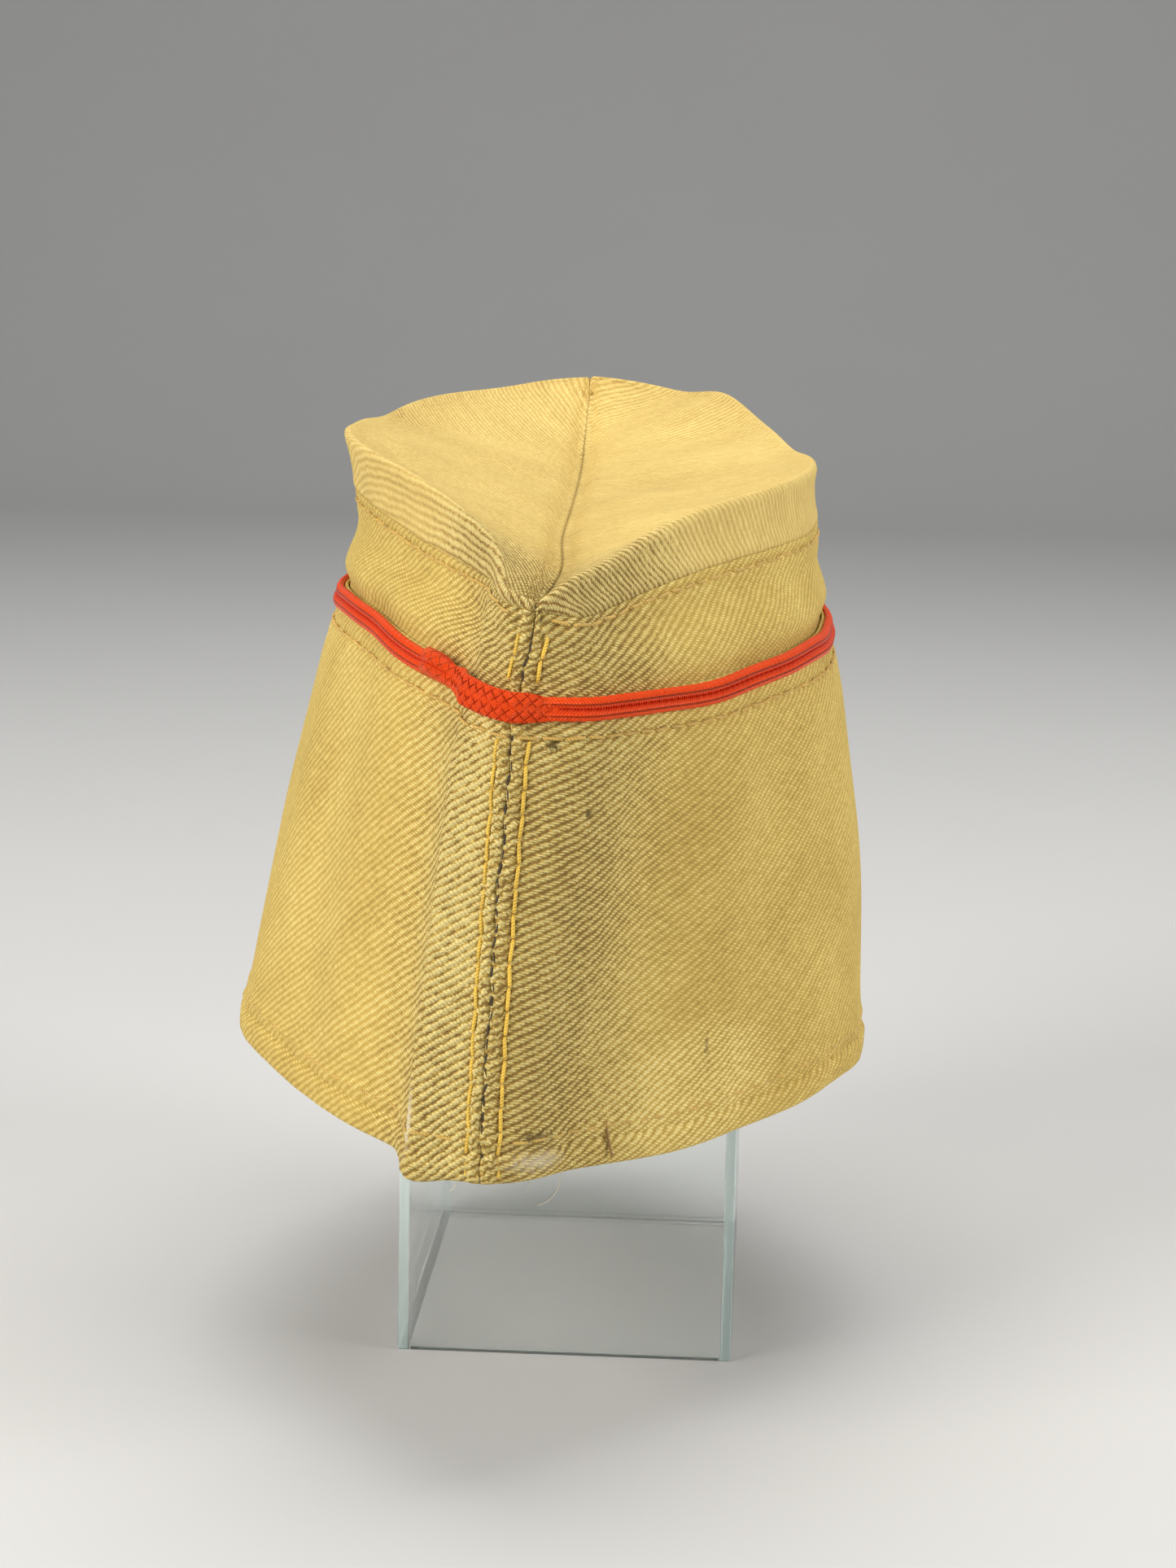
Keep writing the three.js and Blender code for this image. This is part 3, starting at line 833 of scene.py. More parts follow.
def top_sections(side, sizes):
    """Sections of one top panel: up the strip outside the rim, over the rim's arc and down to the trough's
    seam along a power curve, and back along the underside."""
    pitch = sizes.stitch_pitch / MM
    rim_rows = np.array([RIM_ROW])
    from_near = spread(row_lengths(side, rim_rows))
    angles = angles_at(side, rim_rows, from_near)[0][:, None]
    rim = wall_point(side, angles, RIM_ROW, 0.0)
    cos = np.cos(angles)
    valley_y = -(np.where(cos > 0, LEVELS["near"][-1], LEVELS["far"][-1]) - VALLEY_INSET) * cos
    valley_x = side * VALLEY_APART + VALLEY_STRAIGHTEN * (1 - (valley_y / REACH) ** 2)
    valley_x = valley_x + VALLEY_SWERVE * bell(valley_y - SWERVE_PLACE, SWERVE_RUN)
    valley = np.stack([valley_x, valley_y, valley_height(valley_y)], axis=-1)
    inward = (valley - rim) * (1 - UP)
    width = np.linalg.norm(inward, axis=-1)
    inward = unit(inward)

    row_step = 0.05
    row_height = np.linalg.norm(rim - wall_point(side, angles, RIM_ROW - row_step, 0.0), axis=-1) / row_step
    low = ridge_row(side, angles) + RIDGE_CLEAR / row_height
    high = RIM_ROW - RIM_RADIUS / row_height
    strip = wall_point(side, angles, low + (high - low) * np.linspace(0, 1, STRIP_STEPS)[None, :], 0.0)

    turn = np.linspace(FOLD_START, math.pi / 2 - TROUGH_TILT, FOLD_STEPS)[None, :]
    ones = np.ones_like(angles)
    fold_across = RIM_RADIUS * (1 + np.cos(turn)) * ones
    fold_rise = RIM_RADIUS * (np.sin(turn) - 1) * ones
    fold = rim_point(rim, inward, fold_across, fold_rise)

    start_across = RIM_RADIUS * (1 + math.sin(TROUGH_TILT))
    start_rise = RIM_RADIUS * (math.cos(TROUGH_TILT) - 1)
    share = 1 - (1 - np.linspace(0, 1, TOP_STEPS)[None, 1:]) ** TROUGH_CROWDING
    drop = valley[..., 2] - rim[..., 2]
    slope_across = start_across + (width - start_across) * share
    slope_rise = start_rise + (drop - start_rise) * share ** TROUGH_BEND
    slope = rim_point(rim, inward, slope_across, slope_rise)

    outer = np.concatenate([strip, fold, slope], axis=1)
    normals = grid_normals(outer)
    normals = normals * np.sign(normals[len(normals) // 2, IN_TROUGH, 2])
    up = lengths_along(outer, 1)
    to_valley = up[:, -1:] - up
    near = from_near[0][:, None]
    far = near[-1] - near
    quiet = fade(0.0, TOP_QUIET, np.minimum(near, far))
    relief = TOP_EDGE_SWELL * bell(up - TOP_EDGE_AT, TOP_EDGE_RUN) - RIDGE_DIP * bell(up, TOP_DIP_RUN)
    relief = relief - TOP_END_DIP * (bell(near, TOP_END_RUN) + bell(far, TOP_END_RUN))
    relief = relief - VALLEY_DIP * quiet * bell(to_valley, VALLEY_DIP_RUN)
    pucker = np.cos(FULL_TURN * near / pitch) * bell(to_valley - VALLEY_DIP_RUN, VALLEY_PUCKER_RUN)
    relief = relief + VALLEY_PUCKER * quiet * pucker
    first_wave, second_wave, third_wave, down_wave = SAG_WAVES
    sag = SAG_LONG * np.sin(near / first_wave + side) * np.sin(near / second_wave + 2 * side)
    sag = sag + SAG_SHORT * np.sin(near / third_wave - up / down_wave)
    relief = relief + quiet * sag * fade(*SAG_BELOW_RIM, up) * fade(*SAG_ABOVE_VALLEY, to_valley)
    inner = outer - normals * WALL * fade(0.0, 1.0, up * 2 + 0.5)[..., None]
    inner[:, -1] = outer[:, -1] - UP * WALL
    outer = outer + normals * relief[..., None]
    points = np.concatenate([outer, inner[:, ::-1]], axis=1)
    flat = valley[..., :2] - inward[..., :2] * to_valley[..., None]
    return settle(points), np.concatenate([flat, flat[:, ::-1]], axis=1)


def turned(place, angle):
    """Cloth coordinates across and along ribs that rise by an angle."""
    u, v = np.moveaxis(place, -1, 0)
    return np.stack([v * np.cos(angle) - u * np.sin(angle), u * np.cos(angle) + v * np.sin(angle)], axis=-1)


def grid_quads(columns, size, wrap_columns, wrap_size):
    """Corner numbers of the quads of a grid that may be closed either way."""
    i = np.arange(columns if wrap_columns else columns - 1)[:, None]
    j = np.arange(size if wrap_size else size - 1)[None, :]
    k, m = (i + 1) % columns, (j + 1) % size
    return np.stack([i * size + j, i * size + m, k * size + m, k * size + j], axis=-1).reshape(-1, 4)


def end_faces(columns, size):
    """Corner numbers of the faces that close the first and the last section."""
    return [np.arange(size)[::-1], np.arange(size) + (columns - 1) * size]


def signed_volume(points, quads):
    """Six times the volume inside quads, positive where they face outwards."""
    a, b, c, d = (points[quads[:, n]] - points.mean(axis=0) for n in range(4))
    return float((a * np.cross(b, c)).sum() + (a * np.cross(c, d)).sum())


def add_piece(name, points, quads, caps, paint, maps):
    """Object at the origin from whole arrays: corners in millimetres, quads, end faces, a material, and UV
    maps with a value for each corner."""
    if signed_volume(points, quads) < 0:
        quads = quads[:, ::-1]
        caps = [cap[::-1] for cap in caps]
    corners = np.concatenate([quads.ravel(), *caps]).astype(np.int32)
    sizes = np.concatenate([np.full(len(quads), 4), [len(cap) for cap in caps]]).astype(np.int32)
    starts = (np.cumsum(sizes) - sizes).astype(np.int32)
    mesh = bpy.data.meshes.new(name)
    mesh.vertices.add(len(points))
    mesh.vertices.foreach_set("co", (points * MM).astype(np.float32).ravel())
    mesh.loops.add(len(corners))
    mesh.loops.foreach_set("vertex_index", corners)
    mesh.polygons.add(len(sizes))
    mesh.polygons.foreach_set("loop_start", starts)
    mesh.update(calc_edges=True)
    mesh.validate()
    mesh.polygons.foreach_set("use_smooth", sizes == 4)
    for map_name, values in maps.items():
        layer = mesh.uv_layers.new(name=map_name)
        layer.data.foreach_set("uv", values[corners].astype(np.float32).ravel())
    mesh.materials.append(paint)
    piece = bpy.data.objects.new(name, mesh)
    bpy.context.scene.collection.objects.link(piece)
    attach(piece, BODY)
    return piece


def half_name(word, side):
    """Name of a piece's half."""
    return f"{word}_{'left' if side < 0 else 'right'}"


def add_halves(word, sections_of, sizes, rib_angles, paint):
    """Both halves of a cloth piece in place of their solids: closed sections carried from seam to seam, with
    an end face at each seam."""
    for side, rib_angle in zip(SIDES, rib_angles):
        sections, place = sections_of(side, sizes)
        shape = sections.shape[:2]
        maps = {"weave": turned(place, rib_angle).reshape(-1, 2), "place": place.reshape(-1, 2)}
        piece = add_piece(half_name(f"{word}_cloth", side), sections.reshape(-1, 3),
                          grid_quads(*shape, False, True), end_faces(*shape), paint, maps)
        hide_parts(half_name(word, side))


def add_tubes(name, lines, first, second, radius, along, sides, paint):
    """Separate closed tubes: each ring is line + radius * (first * cos + second * sin).

    Lines, the two directions, the radius and the length along are all by tube and step."""
    count, steps = lines.shape[:2]
    turn = ring_angles(sides)
    ring = first[..., None, :] * np.cos(turn)[:, None] + second[..., None, :] * np.sin(turn)[:, None]
    points = lines[:, :, None, :] + ring * radius[..., None, None]
    size = steps * sides
    starts = np.arange(count)[:, None] * size
    quads = (grid_quads(steps, sides, False, True)[None] + starts[:, None]).reshape(-1, 4)
    caps = [face + start for face in end_faces(steps, sides) for start in starts]
    maps = {"weave": paired(along[..., None], turn)}
    return add_piece(name, points.reshape(-1, 3), quads, caps, paint, maps)


class Wire:
    """An output of a material's node. Arithmetic on it adds Math nodes."""

    def __init__(self, paint, socket):
        self.paint = paint
        self.socket = socket

    def maths(self, operation, *others):
        """Math node with this output first."""
        return self.paint.node("ShaderNodeMath", {"operation": operation}, dict(enumerate((self, *others))))

    def reflected(self, operation, first):
        """Math node with this output second."""
        return self.paint.node("ShaderNodeMath", {"operation": operation}, {0: first, 1: self})

    def __add__(self, other):
        return self.maths("ADD", other)

    def __radd__(self, other):
        return self.reflected("ADD", other)

    def __sub__(self, other):
        return self.maths("SUBTRACT", other)

    def __rsub__(self, other):
        return self.reflected("SUBTRACT", other)

    def __mul__(self, other):
        return self.maths("MULTIPLY", other)

    def __rmul__(self, other):
        return self.reflected("MULTIPLY", other)

    def __truediv__(self, other):
        return self.maths("DIVIDE", other)

    def __rtruediv__(self, other):
        return self.reflected("DIVIDE", other)

    def __pow__(self, other):
        return self.maths("POWER", other)

    def __rpow__(self, other):
        return self.reflected("POWER", other)


class Paint:
    """One material and the nodes that are added to it."""

    def __init__(self, name):
        self.material = bpy.data.materials.new(name)
        self.material.use_nodes = True
        self.tree = self.material.node_tree
        self.tree.nodes.clear()

    def node(self, kind, settings, inputs, output=0):
        """Adds a node, sets its settings, then its sockets' values or links, and gives one output."""
        made = self.tree.nodes.new(kind)
        for key, value in settings.items():
            setattr(made, key, value)
        for key, value in inputs.items():
            if isinstance(value, Wire):
                self.tree.links.new(value.socket, made.inputs[key])
            else:
                made.inputs[key].default_value = value
        return Wire(self, made.outputs[output]) if made.outputs else None

    def solid(self):
        """Place in the object's own frame, in metres."""
        return self.node("ShaderNodeTexCoord", {}, {}, "Object")

    def uv(self, name):
        """One of the piece's UV maps."""
        return self.node("ShaderNodeUVMap", {"uv_map": name}, {})

    def axes(self, vector):
        """X and Y of a vector."""
        node = self.node("ShaderNodeSeparateXYZ", {}, {0: vector}).socket.node
        return [Wire(self, node.outputs[n]) for n in range(2)]

    def stretched(self, vector, scale):
        """Vector with each axis scaled."""
        return self.node("ShaderNodeMapping", {}, {0: vector, 3: scale})

    def mix(self, factor, first, second):
        """Colour between two colours."""
        return self.node("ShaderNodeMix", {"data_type": "RGBA"}, {0: factor, 6: first, 7: second}, 2)

    def noise(self, vector, scale, detail=2.0, rough=0.5):
        """Noise between 0 and 1."""
        inputs = {"Vector": vector, "Scale": scale, "Detail": detail, "Roughness": rough}
        return self.node("ShaderNodeTexNoise", {}, inputs)

    def lumps(self, vector, scale, detail=2.0, rough=0.5):
        """Noise between -0.5 and 0.5."""
        return self.noise(vector, scale, detail, rough) - 0.5

    def wave(self, turns):
        """Sine of an angle, between 0 and 1."""
        return turns.maths("SINE") * 0.5 + 0.5

    def step(self, value, low, high):
        """Smooth step of a value between two limits."""
        settings = {"interpolation_type": "SMOOTHSTEP"}
        return self.node("ShaderNodeMapRange", settings, {"Value": value, "From Min": low, "From Max": high})

    def spot(self, place, middle_u, middle_v, half_u, half_v):
        """Distance from the middle of an ellipse, 1 on the ellipse."""
        du = (place[0] - middle_u) / half_u
        dv = (place[1] - middle_v) / half_v
        return (du * du + dv * dv) ** 0.5

    def bump(self, height, depth, strength=1.0):
        """Normal of a relief whose heights of 0 to 1 are a depth in metres."""
        return self.node("ShaderNodeBump", {}, {"Strength": strength, "Distance": depth, "Height": height})

    def finish(self, inputs):
        """Principled shader with these sockets on the material's output."""
        shader = self.node("ShaderNodeBsdfPrincipled", {}, inputs)
        self.node("ShaderNodeOutputMaterial", {}, {"Surface": shader})
        return self.material


def opaque(colour, share=1.0):
    """Colour with a full alpha, made darker or lighter by a share."""
    return (*[channel * share for channel in colour], 1.0)


def twill_paint(name, colour, sizes, pale, marks, worn, clear):
    """Cotton twill: raised-cosine diagonal ribs of staggered yarn floats, worn smoother away from the near
    seam, with paler rubbed patches and small marks. Its colour follows the relief: painted shade in the gaps
    between the ribs and a painted pale highlight on their tops.

    The relief falls to a share between two distances of the "place" map, from its first or second value."""
    paint = Paint(name)
    weave = paint.uv("weave")
    solid = paint.solid()
    across, along = paint.axes(weave)
    place = paint.axes(paint.uv("place"))
    axis, shift, first, last, share = clear
    crisp = 1 - paint.step((place[axis] + shift).maths("ABSOLUTE"), first, last) * (1 - share)
    wander = paint.lumps(solid, WANDER_NOISE, 1.0)
    crease = paint.lumps(solid, CREASE_NOISE)
    grain = paint.lumps(solid, GRAIN_NOISE)
    fuzz = paint.lumps(solid, FUZZ_NOISE, 3.0, 0.6)
    patch = paint.lumps(solid, PATCH_NOISE, 3.0)
    streak = paint.lumps(paint.stretched(weave, STREAK_STRETCH), 1.0)

    seam = 1 - paint.step(place[0].maths("ABSOLUTE"), *SEAM_CREASED)
    bent = across + wander * RIB_WANDER + crease * (seam * SEAM_CREASE + RIB_CREASE)
    rib = bent / (sizes.rib_pitch / MM)
    cell = rib.maths("FLOOR")
    inside = rib.maths("FRACT") * 2 - 1
    ridge = (inside * math.pi).maths("COSINE") * 0.5 + 0.5
    beat = along / (sizes.yarn_pitch / MM) + inside * FLOAT_SLANT + cell * FLOAT_STAGGER
    float_top = (beat.maths("FRACT") * FULL_TURN).maths("COSINE") * -0.5 + 0.5
    height = ridge * (float_top * FLOAT_RELIEF + RIB_RELIEF) + grain * GRAIN_RELIEF
    yarn_place = paint.node("ShaderNodeCombineXYZ", {}, {0: cell, 1: beat.maths("FLOOR")})
    yarn = paint.node("ShaderNodeTexWhiteNoise", {"noise_dimensions": "2D"}, {"Vector": yarn_place}) - 0.5

    # Brightness painted into the colour: the relief's share is painted shade in the gaps between the ribs and
    # painted highlight on their tops; yarn, fuzz, patches and streaks are the cloth's own uneven tone
    weave_shade_and_tone = (height - MEAN_RELIEF) * RELIEF_PAINTED_SHADE + yarn * YARN_LIGHT + fuzz * FUZZ_LIGHT
    light = weave_shade_and_tone * crisp + patch * PATCH_LIGHT + streak * STREAK_LIGHT + MEAN_LIGHT
    for *ellipse, gain in worn:
        rub = (1 - paint.step(paint.spot(place, *ellipse) + patch * RUB_RAGGED, *RUB_EDGE)) * gain
        light = light + rub * (weave_shade_and_tone * RUB_WEAVE + RUB_LIGHT)
    # Low brightness turns the colour to the gaps' painted shade, high brightness to the pale colour, which is
    # painted highlight on the rib tops and fading on the rubbed patches
    cloth = paint.mix(paint.step(light, *GAP_SHADE_TO_CLOTH), opaque(WEAVE_GAP_SHADE), opaque(colour, 1.04))
    cloth = paint.mix(paint.step(light, *CLOTH_TO_PALE) * PALE_MOST, cloth, opaque(pale))
    for *ellipse, depth, mark_colour in marks:
        mark = (1 - paint.step(paint.spot(place, *ellipse) + fuzz * MARK_RAGGED, *MARK_EDGE)) * depth
        cloth = paint.mix(mark, cloth, opaque(mark_colour))
    return paint.finish({
        "Base Color": cloth,
        "Roughness": 0.92,
        "Specular IOR Level": 0.18,
        "Sheen Weight": 0.25,
        "Sheen Roughness": 0.5,
        "Sheen Tint": opaque(pale),
        "Normal": paint.bump(height * crisp, TWILL_DEPTH),
    })


def braid_paint(name, colours, pitch):
    """Satin braid: fine threads laid at a slant across each strand, with painted shade between them and low
    down, and a painted highlight on the raised threads.
    """
    paint = Paint(name)
    solid = paint.solid()
    along, around = paint.axes(paint.uv("weave"))
    raised = paint.axes(paint.uv("place"))[1]
    thread = paint.wave((along + around * BRAID_SLANT) * (FULL_TURN / pitch))
    fine = paint.lumps(solid, BRAID_NOISE)
    patch = paint.lumps(solid, BRAID_PATCH_NOISE)
    height = thread * 0.8 + fine * 0.3
    # Painted shade and highlight: darker between the threads and where the place map is low, lighter on the
    # raised threads, with patches of the braid's own uneven tone
    shade = paint.step(height * 0.9 + patch * 0.4 + 0.34, 0.0, 1.0)
    shade = shade * (paint.step(raised, 0.0, 0.45) * 0.75 + 0.25)
    return paint.finish({
        "Base Color": paint.mix(shade, opaque(colours.braid, 0.6), opaque(colours.braid_highlight)),
        "Roughness": 0.3,
        "Specular IOR Level": 0.5,
        "Specular Tint": opaque(BRAID_GLINT),
        "Normal": paint.bump(height, BRAID_DEPTH),
    })


def thread_paint(name, colour):
    """Sewing thread: two plies twisted round each other, with painted shade between them and a painted
    highlight on them.
    """
    paint = Paint(name)
    along, around = paint.axes(paint.uv("weave"))
    ply = paint.wave((along * PLY_TWIST + around) * 2.0)
    shade = paint.step(ply * 0.5 + paint.noise(paint.solid(), THREAD_NOISE), 0.2, 1.2)
    return paint.finish({
        "Base Color": paint.mix(shade, opaque(colour, 0.55), opaque(colour, 1.15)),
        "Roughness": 0.55,
        "Sheen Weight": 0.15,
        "Normal": paint.bump(ply, PLY_DEPTH, 0.8),
    })


def clear_paint(colour):
    """Clear polished plastic with faint scuffs that dull its gloss."""
    paint = Paint("clear_plastic_face")
    scuffs = paint.noise(paint.stretched(paint.solid(), SCUFF_STRETCH), SCUFF_NOISE, 4.0)
    return paint.finish({
        "Base Color": opaque(colour),
        "Roughness": paint.step(scuffs, 0.55, 0.8) * 0.08 + 0.01,
        "IOR": 1.03,
        "Transmission Weight": 1.0,
        "Coat Weight": 1.0,
        "Coat Roughness": 0.02,
        "Coat IOR": 1.49,
        "Alpha": 0.55,
    })


def edge_paint(colour):
    """Cut edge of the clear plastic, which gathers light and shows as a pale, faintly streaked line: its
    greenish tint is the plastic's own and its paleness is painted light.
    """
    paint = Paint("clear_plastic_edge")
    streaks = paint.noise(paint.stretched(paint.solid(), EDGE_STRETCH), EDGE_NOISE, 3.0)
    return paint.finish({
        "Base Color": paint.mix(streaks, opaque(colour, 0.72), opaque(colour)),
        "Roughness": streaks * 0.2 + 0.08,
        "IOR": 1.49,
        "Transmission Weight": 0.35,
        "Coat Weight": 0.5,
        "Alpha": 0.7,
    })


def floor_paint(colour):
    """Pale matt floor with a faint mottle."""
    paint = Paint("pale_floor")
    mottle = paint.noise(paint.solid(), FLOOR_NOISE, 4.0)
    tint = paint.mix(mottle, opaque(colour, 0.97), opaque(colour, 1.02))
    return paint.finish({"Base Color": tint, "Roughness": 0.85, "Specular IOR Level": 0.2})


def braid_line(side):
    """Middle of the braid along one half from the near seam, with the directions up and out of the wall."""
    row = rows_at(height_of(BRAID_ROW) - BRAID_DROP)
    distances, angles = along_row(side, row, 0.0, BRAID_STEPS)
    middle = wall_point(side, angles, row, GAP + CURTAIN - TOP_TAPER + BRAID_HALF)
    step = 0.05
    up = unit(wall_point(side, angles, row + step, 0.0) - wall_point(side, angles, row - step, 0.0))
    return middle + curtain_shift(1.0, distances), up, wall_normal(side, angles, row)


def add_cords(paint):
    """Braid's two cords, closed rings carried along its line, each an ellipse whose size beats along it."""
    left, right = (braid_line(side) for side in SIDES)
    middle, up, out = (np.concatenate([r, l[::-1][1:-1]]) for r, l in zip(right, left))
    middle[BRAID_STEPS - 1, 0] = 0.0
    along = lengths_along(middle, 0)[:, None]
    turn = ring_angles(CORD_SIDES)[None, :]
    cords = []
    weave = []
    raised = []
    for cord in (-1, 1):
        strand = 1 + CORD_BEAT * np.cos(FULL_TURN * along / CORD_TWIST + cord * 2 * turn)
        lift = BRAID_SHIFT + cord * CORD_APART + ripple(BRAID_WAVER, along)
        lift = lift + CORD_HALF * np.sin(turn) * strand
        points = carried(middle, up, out, lift, BRAID_HALF * np.cos(turn) * strand)
        cords.append(settle(points).reshape(-1, 3))
        weave.append(paired(along, cord * turn * CORD_WRAP))
        # The place map's second value is low on each cord's side that faces the groove between the cords,
        # where the braid's paint puts painted shade
        raised.append(paired(along, 0.5 + 0.5 * cord * np.sin(turn)))
    quads = grid_quads(len(middle), CORD_SIDES, True, True)
    both = np.concatenate([quads, quads + len(cords[0])])
    maps = {"weave": np.concatenate(weave), "place": np.concatenate(raised)}
    return add_piece("braid_ribs", np.concatenate(cords), both, [], paint, maps)


def braid_near_seam(places):
    """Braid's middle and its directions up and out at signed distances from the near seam."""
    left, right = (braid_line(side) for side in SIDES)
    run = np.concatenate([-lengths_along(left[0], 0)[::-1], lengths_along(right[0], 0)[1:]])
    values = [np.concatenate([l[::-1], r[1:]]) for l, r in zip(left, right)]
    return [np.stack([np.interp(places, run, value[:, n]) for n in range(3)], axis=-1) for value in values]


def add_plait(paint):
    """Braid's end: a flattened tube carried along the braid, with strands that cross at plus and minus one
    slant and pass over each other by turns, and that run straight where the end curls and is tucked in."""
    places = np.linspace(END_FIRST, END_LAST, END_STEPS)[:, None]
    middle, up, out = braid_near_seam(places[:, 0])
    turn = ring_angles(END_SIDES)[None, :]
    curl = bell(places - END_CURL[0], END_CURL[1])
    neck = bell(places - END_NECK[0], END_NECK[1])
    tucked = fade(*END_TUCK, -places)
    merged = fade(*END_MERGE, places)

    def half_size(plain, at_curl, at_neck, lost_tucked, lost_merged):
        """Half size along the end."""
        kept = (1 - lost_tucked * tucked) * (1 - lost_merged * merged)
        return (plain + at_curl * curl + at_neck * neck) * kept

    def stand(plain, at_curl, at_tuck, at_merge):
        """Place along the end."""
        return plain + at_curl * curl + at_tuck * tucked + at_merge * merged

    height = half_size(*END_HEIGHT)
    band = np.sign(np.sin(turn)) * np.abs(np.sin(turn)) ** END_FLATNESS
    first = (places + band * height) / PLAIT
    second = (places - band * height) / PLAIT
    over = (np.floor(first) + np.floor(second)) % 2 < 1
    round_first = 1 - (2 * (first % 1) - 1) ** 2
    round_second = 1 - (2 * (second % 1) - 1) ** 2
    upper = np.where(over, round_first, round_second)
    lower = np.where(over, round_second, round_first)
    strand = upper * (PLAIT_UNDER + (1 - PLAIT_UNDER) * lower)
    smooth = fade(*END_SMOOTH, -places)
    strand = strand * (1 - smooth) + np.abs(np.sin(math.pi * band)) * smooth
    front = fade(-0.3, 0.3, np.cos(turn))
    reach = stand(*END_PROUD) + half_size(*END_THICKNESS) * np.cos(turn)
    reach = reach + PLAIT_RELIEF * (strand - PLAIT_LEVEL) * front
    points = settle(carried(middle, up, out, stand(*END_LIFT) + height * band, reach)).reshape(-1, 3)
    slant = np.where(over, second, first) * PLAIT
    # The place map's second value is low between the strands and where one passes under another, where the
    # braid's paint puts painted shade
    maps = {"weave": paired(slant, 0.0), "place": paired(slant, strand * front + 0.5 * (1 - front))}
    quads = grid_quads(END_STEPS, END_SIDES, False, True)
    return add_piece("braid_end", points, quads, end_faces(END_STEPS, END_SIDES), paint, maps)


def wall_path(side, angles, rows, offset):
    """Points along the wall at an offset, and the directions out of the cloth there."""
    here = settle(wall_point(side, angles, rows, offset))
    return here, unit(settle(wall_point(side, angles, rows, offset + 1.0)) - here)


def stitch_places(path, out, pitch):
    """Middles, directions and outward directions of stitches spaced evenly along a path."""
    run = lengths_along(path, 0)
    at = np.arange(pitch / 2, run[-1] - pitch / 4, pitch)

    def sample(values, where):
        """Values at lengths along the path."""
        return np.stack([np.interp(where, run, values[:, n]) for n in range(3)], axis=-1)

    ahead = sample(path, at + pitch / 4) - sample(path, at - pitch / 4)
    return sample(path, at), unit(ahead), unit(sample(out, at))


def add_stitches(name, places, shares, sizes, paint):
    """Stitches: each is a tube whose middle line arches out of the cloth by 1 - t ** bend and dives in at
    both ends, turned a little to one side or the other."""
    long_share, thick_share, sink = shares
    length = sizes.stitch_pitch / MM * long_share
    radius = sizes.thread_radius / MM * thick_share
    middles, ahead, out = (np.concatenate(values)[:, None, :] for values in zip(*places))
    across = unit(np.cross(ahead, out))
    numbers = np.arange(len(middles))[:, None]
    t = np.linspace(-1, 1, STITCH_STEPS)
    arch = (1 - t ** STITCH_BEND) * (sink + radius * STITCH_PROUD) - sink
    aside = STITCH_SWAY * np.sin(numbers * STITCH_CHANGE) * t
    lines = middles + ahead * (t * length / 2)[:, None] + out * arch[:, None] + across * aside[..., None]
    thick = radius * (1 - STITCH_THIN * t ** STITCH_BEND)[None, :]
    along = t * length / 2 + numbers * STITCH_TWIST
    piece = add_tubes(name, lines, across, out * STITCH_FLAT, thick, along, STITCH_SIDES, paint)


def add_thread_ends(name, ends, paint):
    """Thin tubes whose middle line leaves the cloth, drops by a sine and drifts by a power of its run."""
    t = np.linspace(0, 1, LOOSE_STEPS)[:, None]
    lines = []
    firsts = []
    radii = []
    for place, height, drop, drift, stand_off, radius in ends:
        side = -1 if place < 0 else 1
        rows = np.array([rows_at(height)])
        angles = angles_at(side, rows, np.array([[abs(place)]]))[0]
        start, out = wall_path(side, angles, rows, GAP + CURTAIN - LOOSE_ROOT)
        aside = -unit(np.cross(UP, out[0]))
        swing = np.sin(t * math.pi / 2)
        line = start + out * stand_off * swing + aside * drift * t ** LOOSE_DRIFT - UP * drop * swing
        lines.append(line)
        firsts.append(unit(np.cross(np.gradient(line, axis=0), out[0])))
        radii.append([radius])
    lines = np.stack(lines)
    firsts = np.stack(firsts)
    seconds = np.cross(unit(np.gradient(lines, axis=1)), firsts)
    along = np.broadcast_to(t[:, 0] * LOOSE_TWIST, lines.shape[:2])
    piece = add_tubes(name, lines, firsts, seconds, np.array(radii), along, LOOSE_SIDES, paint)


def length_setting(name, description, default):
    """Property for a length in metres."""
    return bpy.props.FloatProperty(
        name=name, description=description, default=default, unit="LENGTH", precision=5)


def angle_setting(name, description, degrees):
    """Property for an angle."""
    return bpy.props.FloatProperty(
        name=name, description=description, default=math.radians(degrees), subtype="ANGLE")


def colour_setting(name, description, default):
    """Property for a colour."""
    return bpy.props.FloatVectorProperty(
        name=name, description=description, default=default, subtype="COLOR", size=3)


def power_setting(name, description, default):
    """Property for a light's power in watts."""
    return bpy.props.FloatProperty(name=name, description=description, default=default, unit="POWER")


class ClothSizes(bpy.types.PropertyGroup):
    """Sizes of the cloth, its weave and its sewing."""

    rib_pitch: length_setting("Rib pitch", "Distance between the twill's diagonal ribs", 0.00134)
    yarn_pitch: length_setting("Yarn pitch", "Length of one yarn float along a rib", 0.00072)
    rib_angle_left: angle_setting("Left rib angle", "Rise of the ribs on the left half", 35)
    rib_angle_right: angle_setting("Right rib angle", "Rise of the ribs on the right half", 31)
    top_angle_left: angle_setting(
        "Left top rib angle", "Turn of the ribs on the left top panel from square to its seam", 123)
    top_angle_right: angle_setting(
        "Right top rib angle", "Turn of the ribs on the right top panel from square to its seam", 6)
    stitch_pitch: length_setting("Stitch pitch", "Distance from one stitch to the next", 0.0044)
    thread_radius: length_setting("Thread radius", "Half the thickness of the sewing thread", 0.00035)


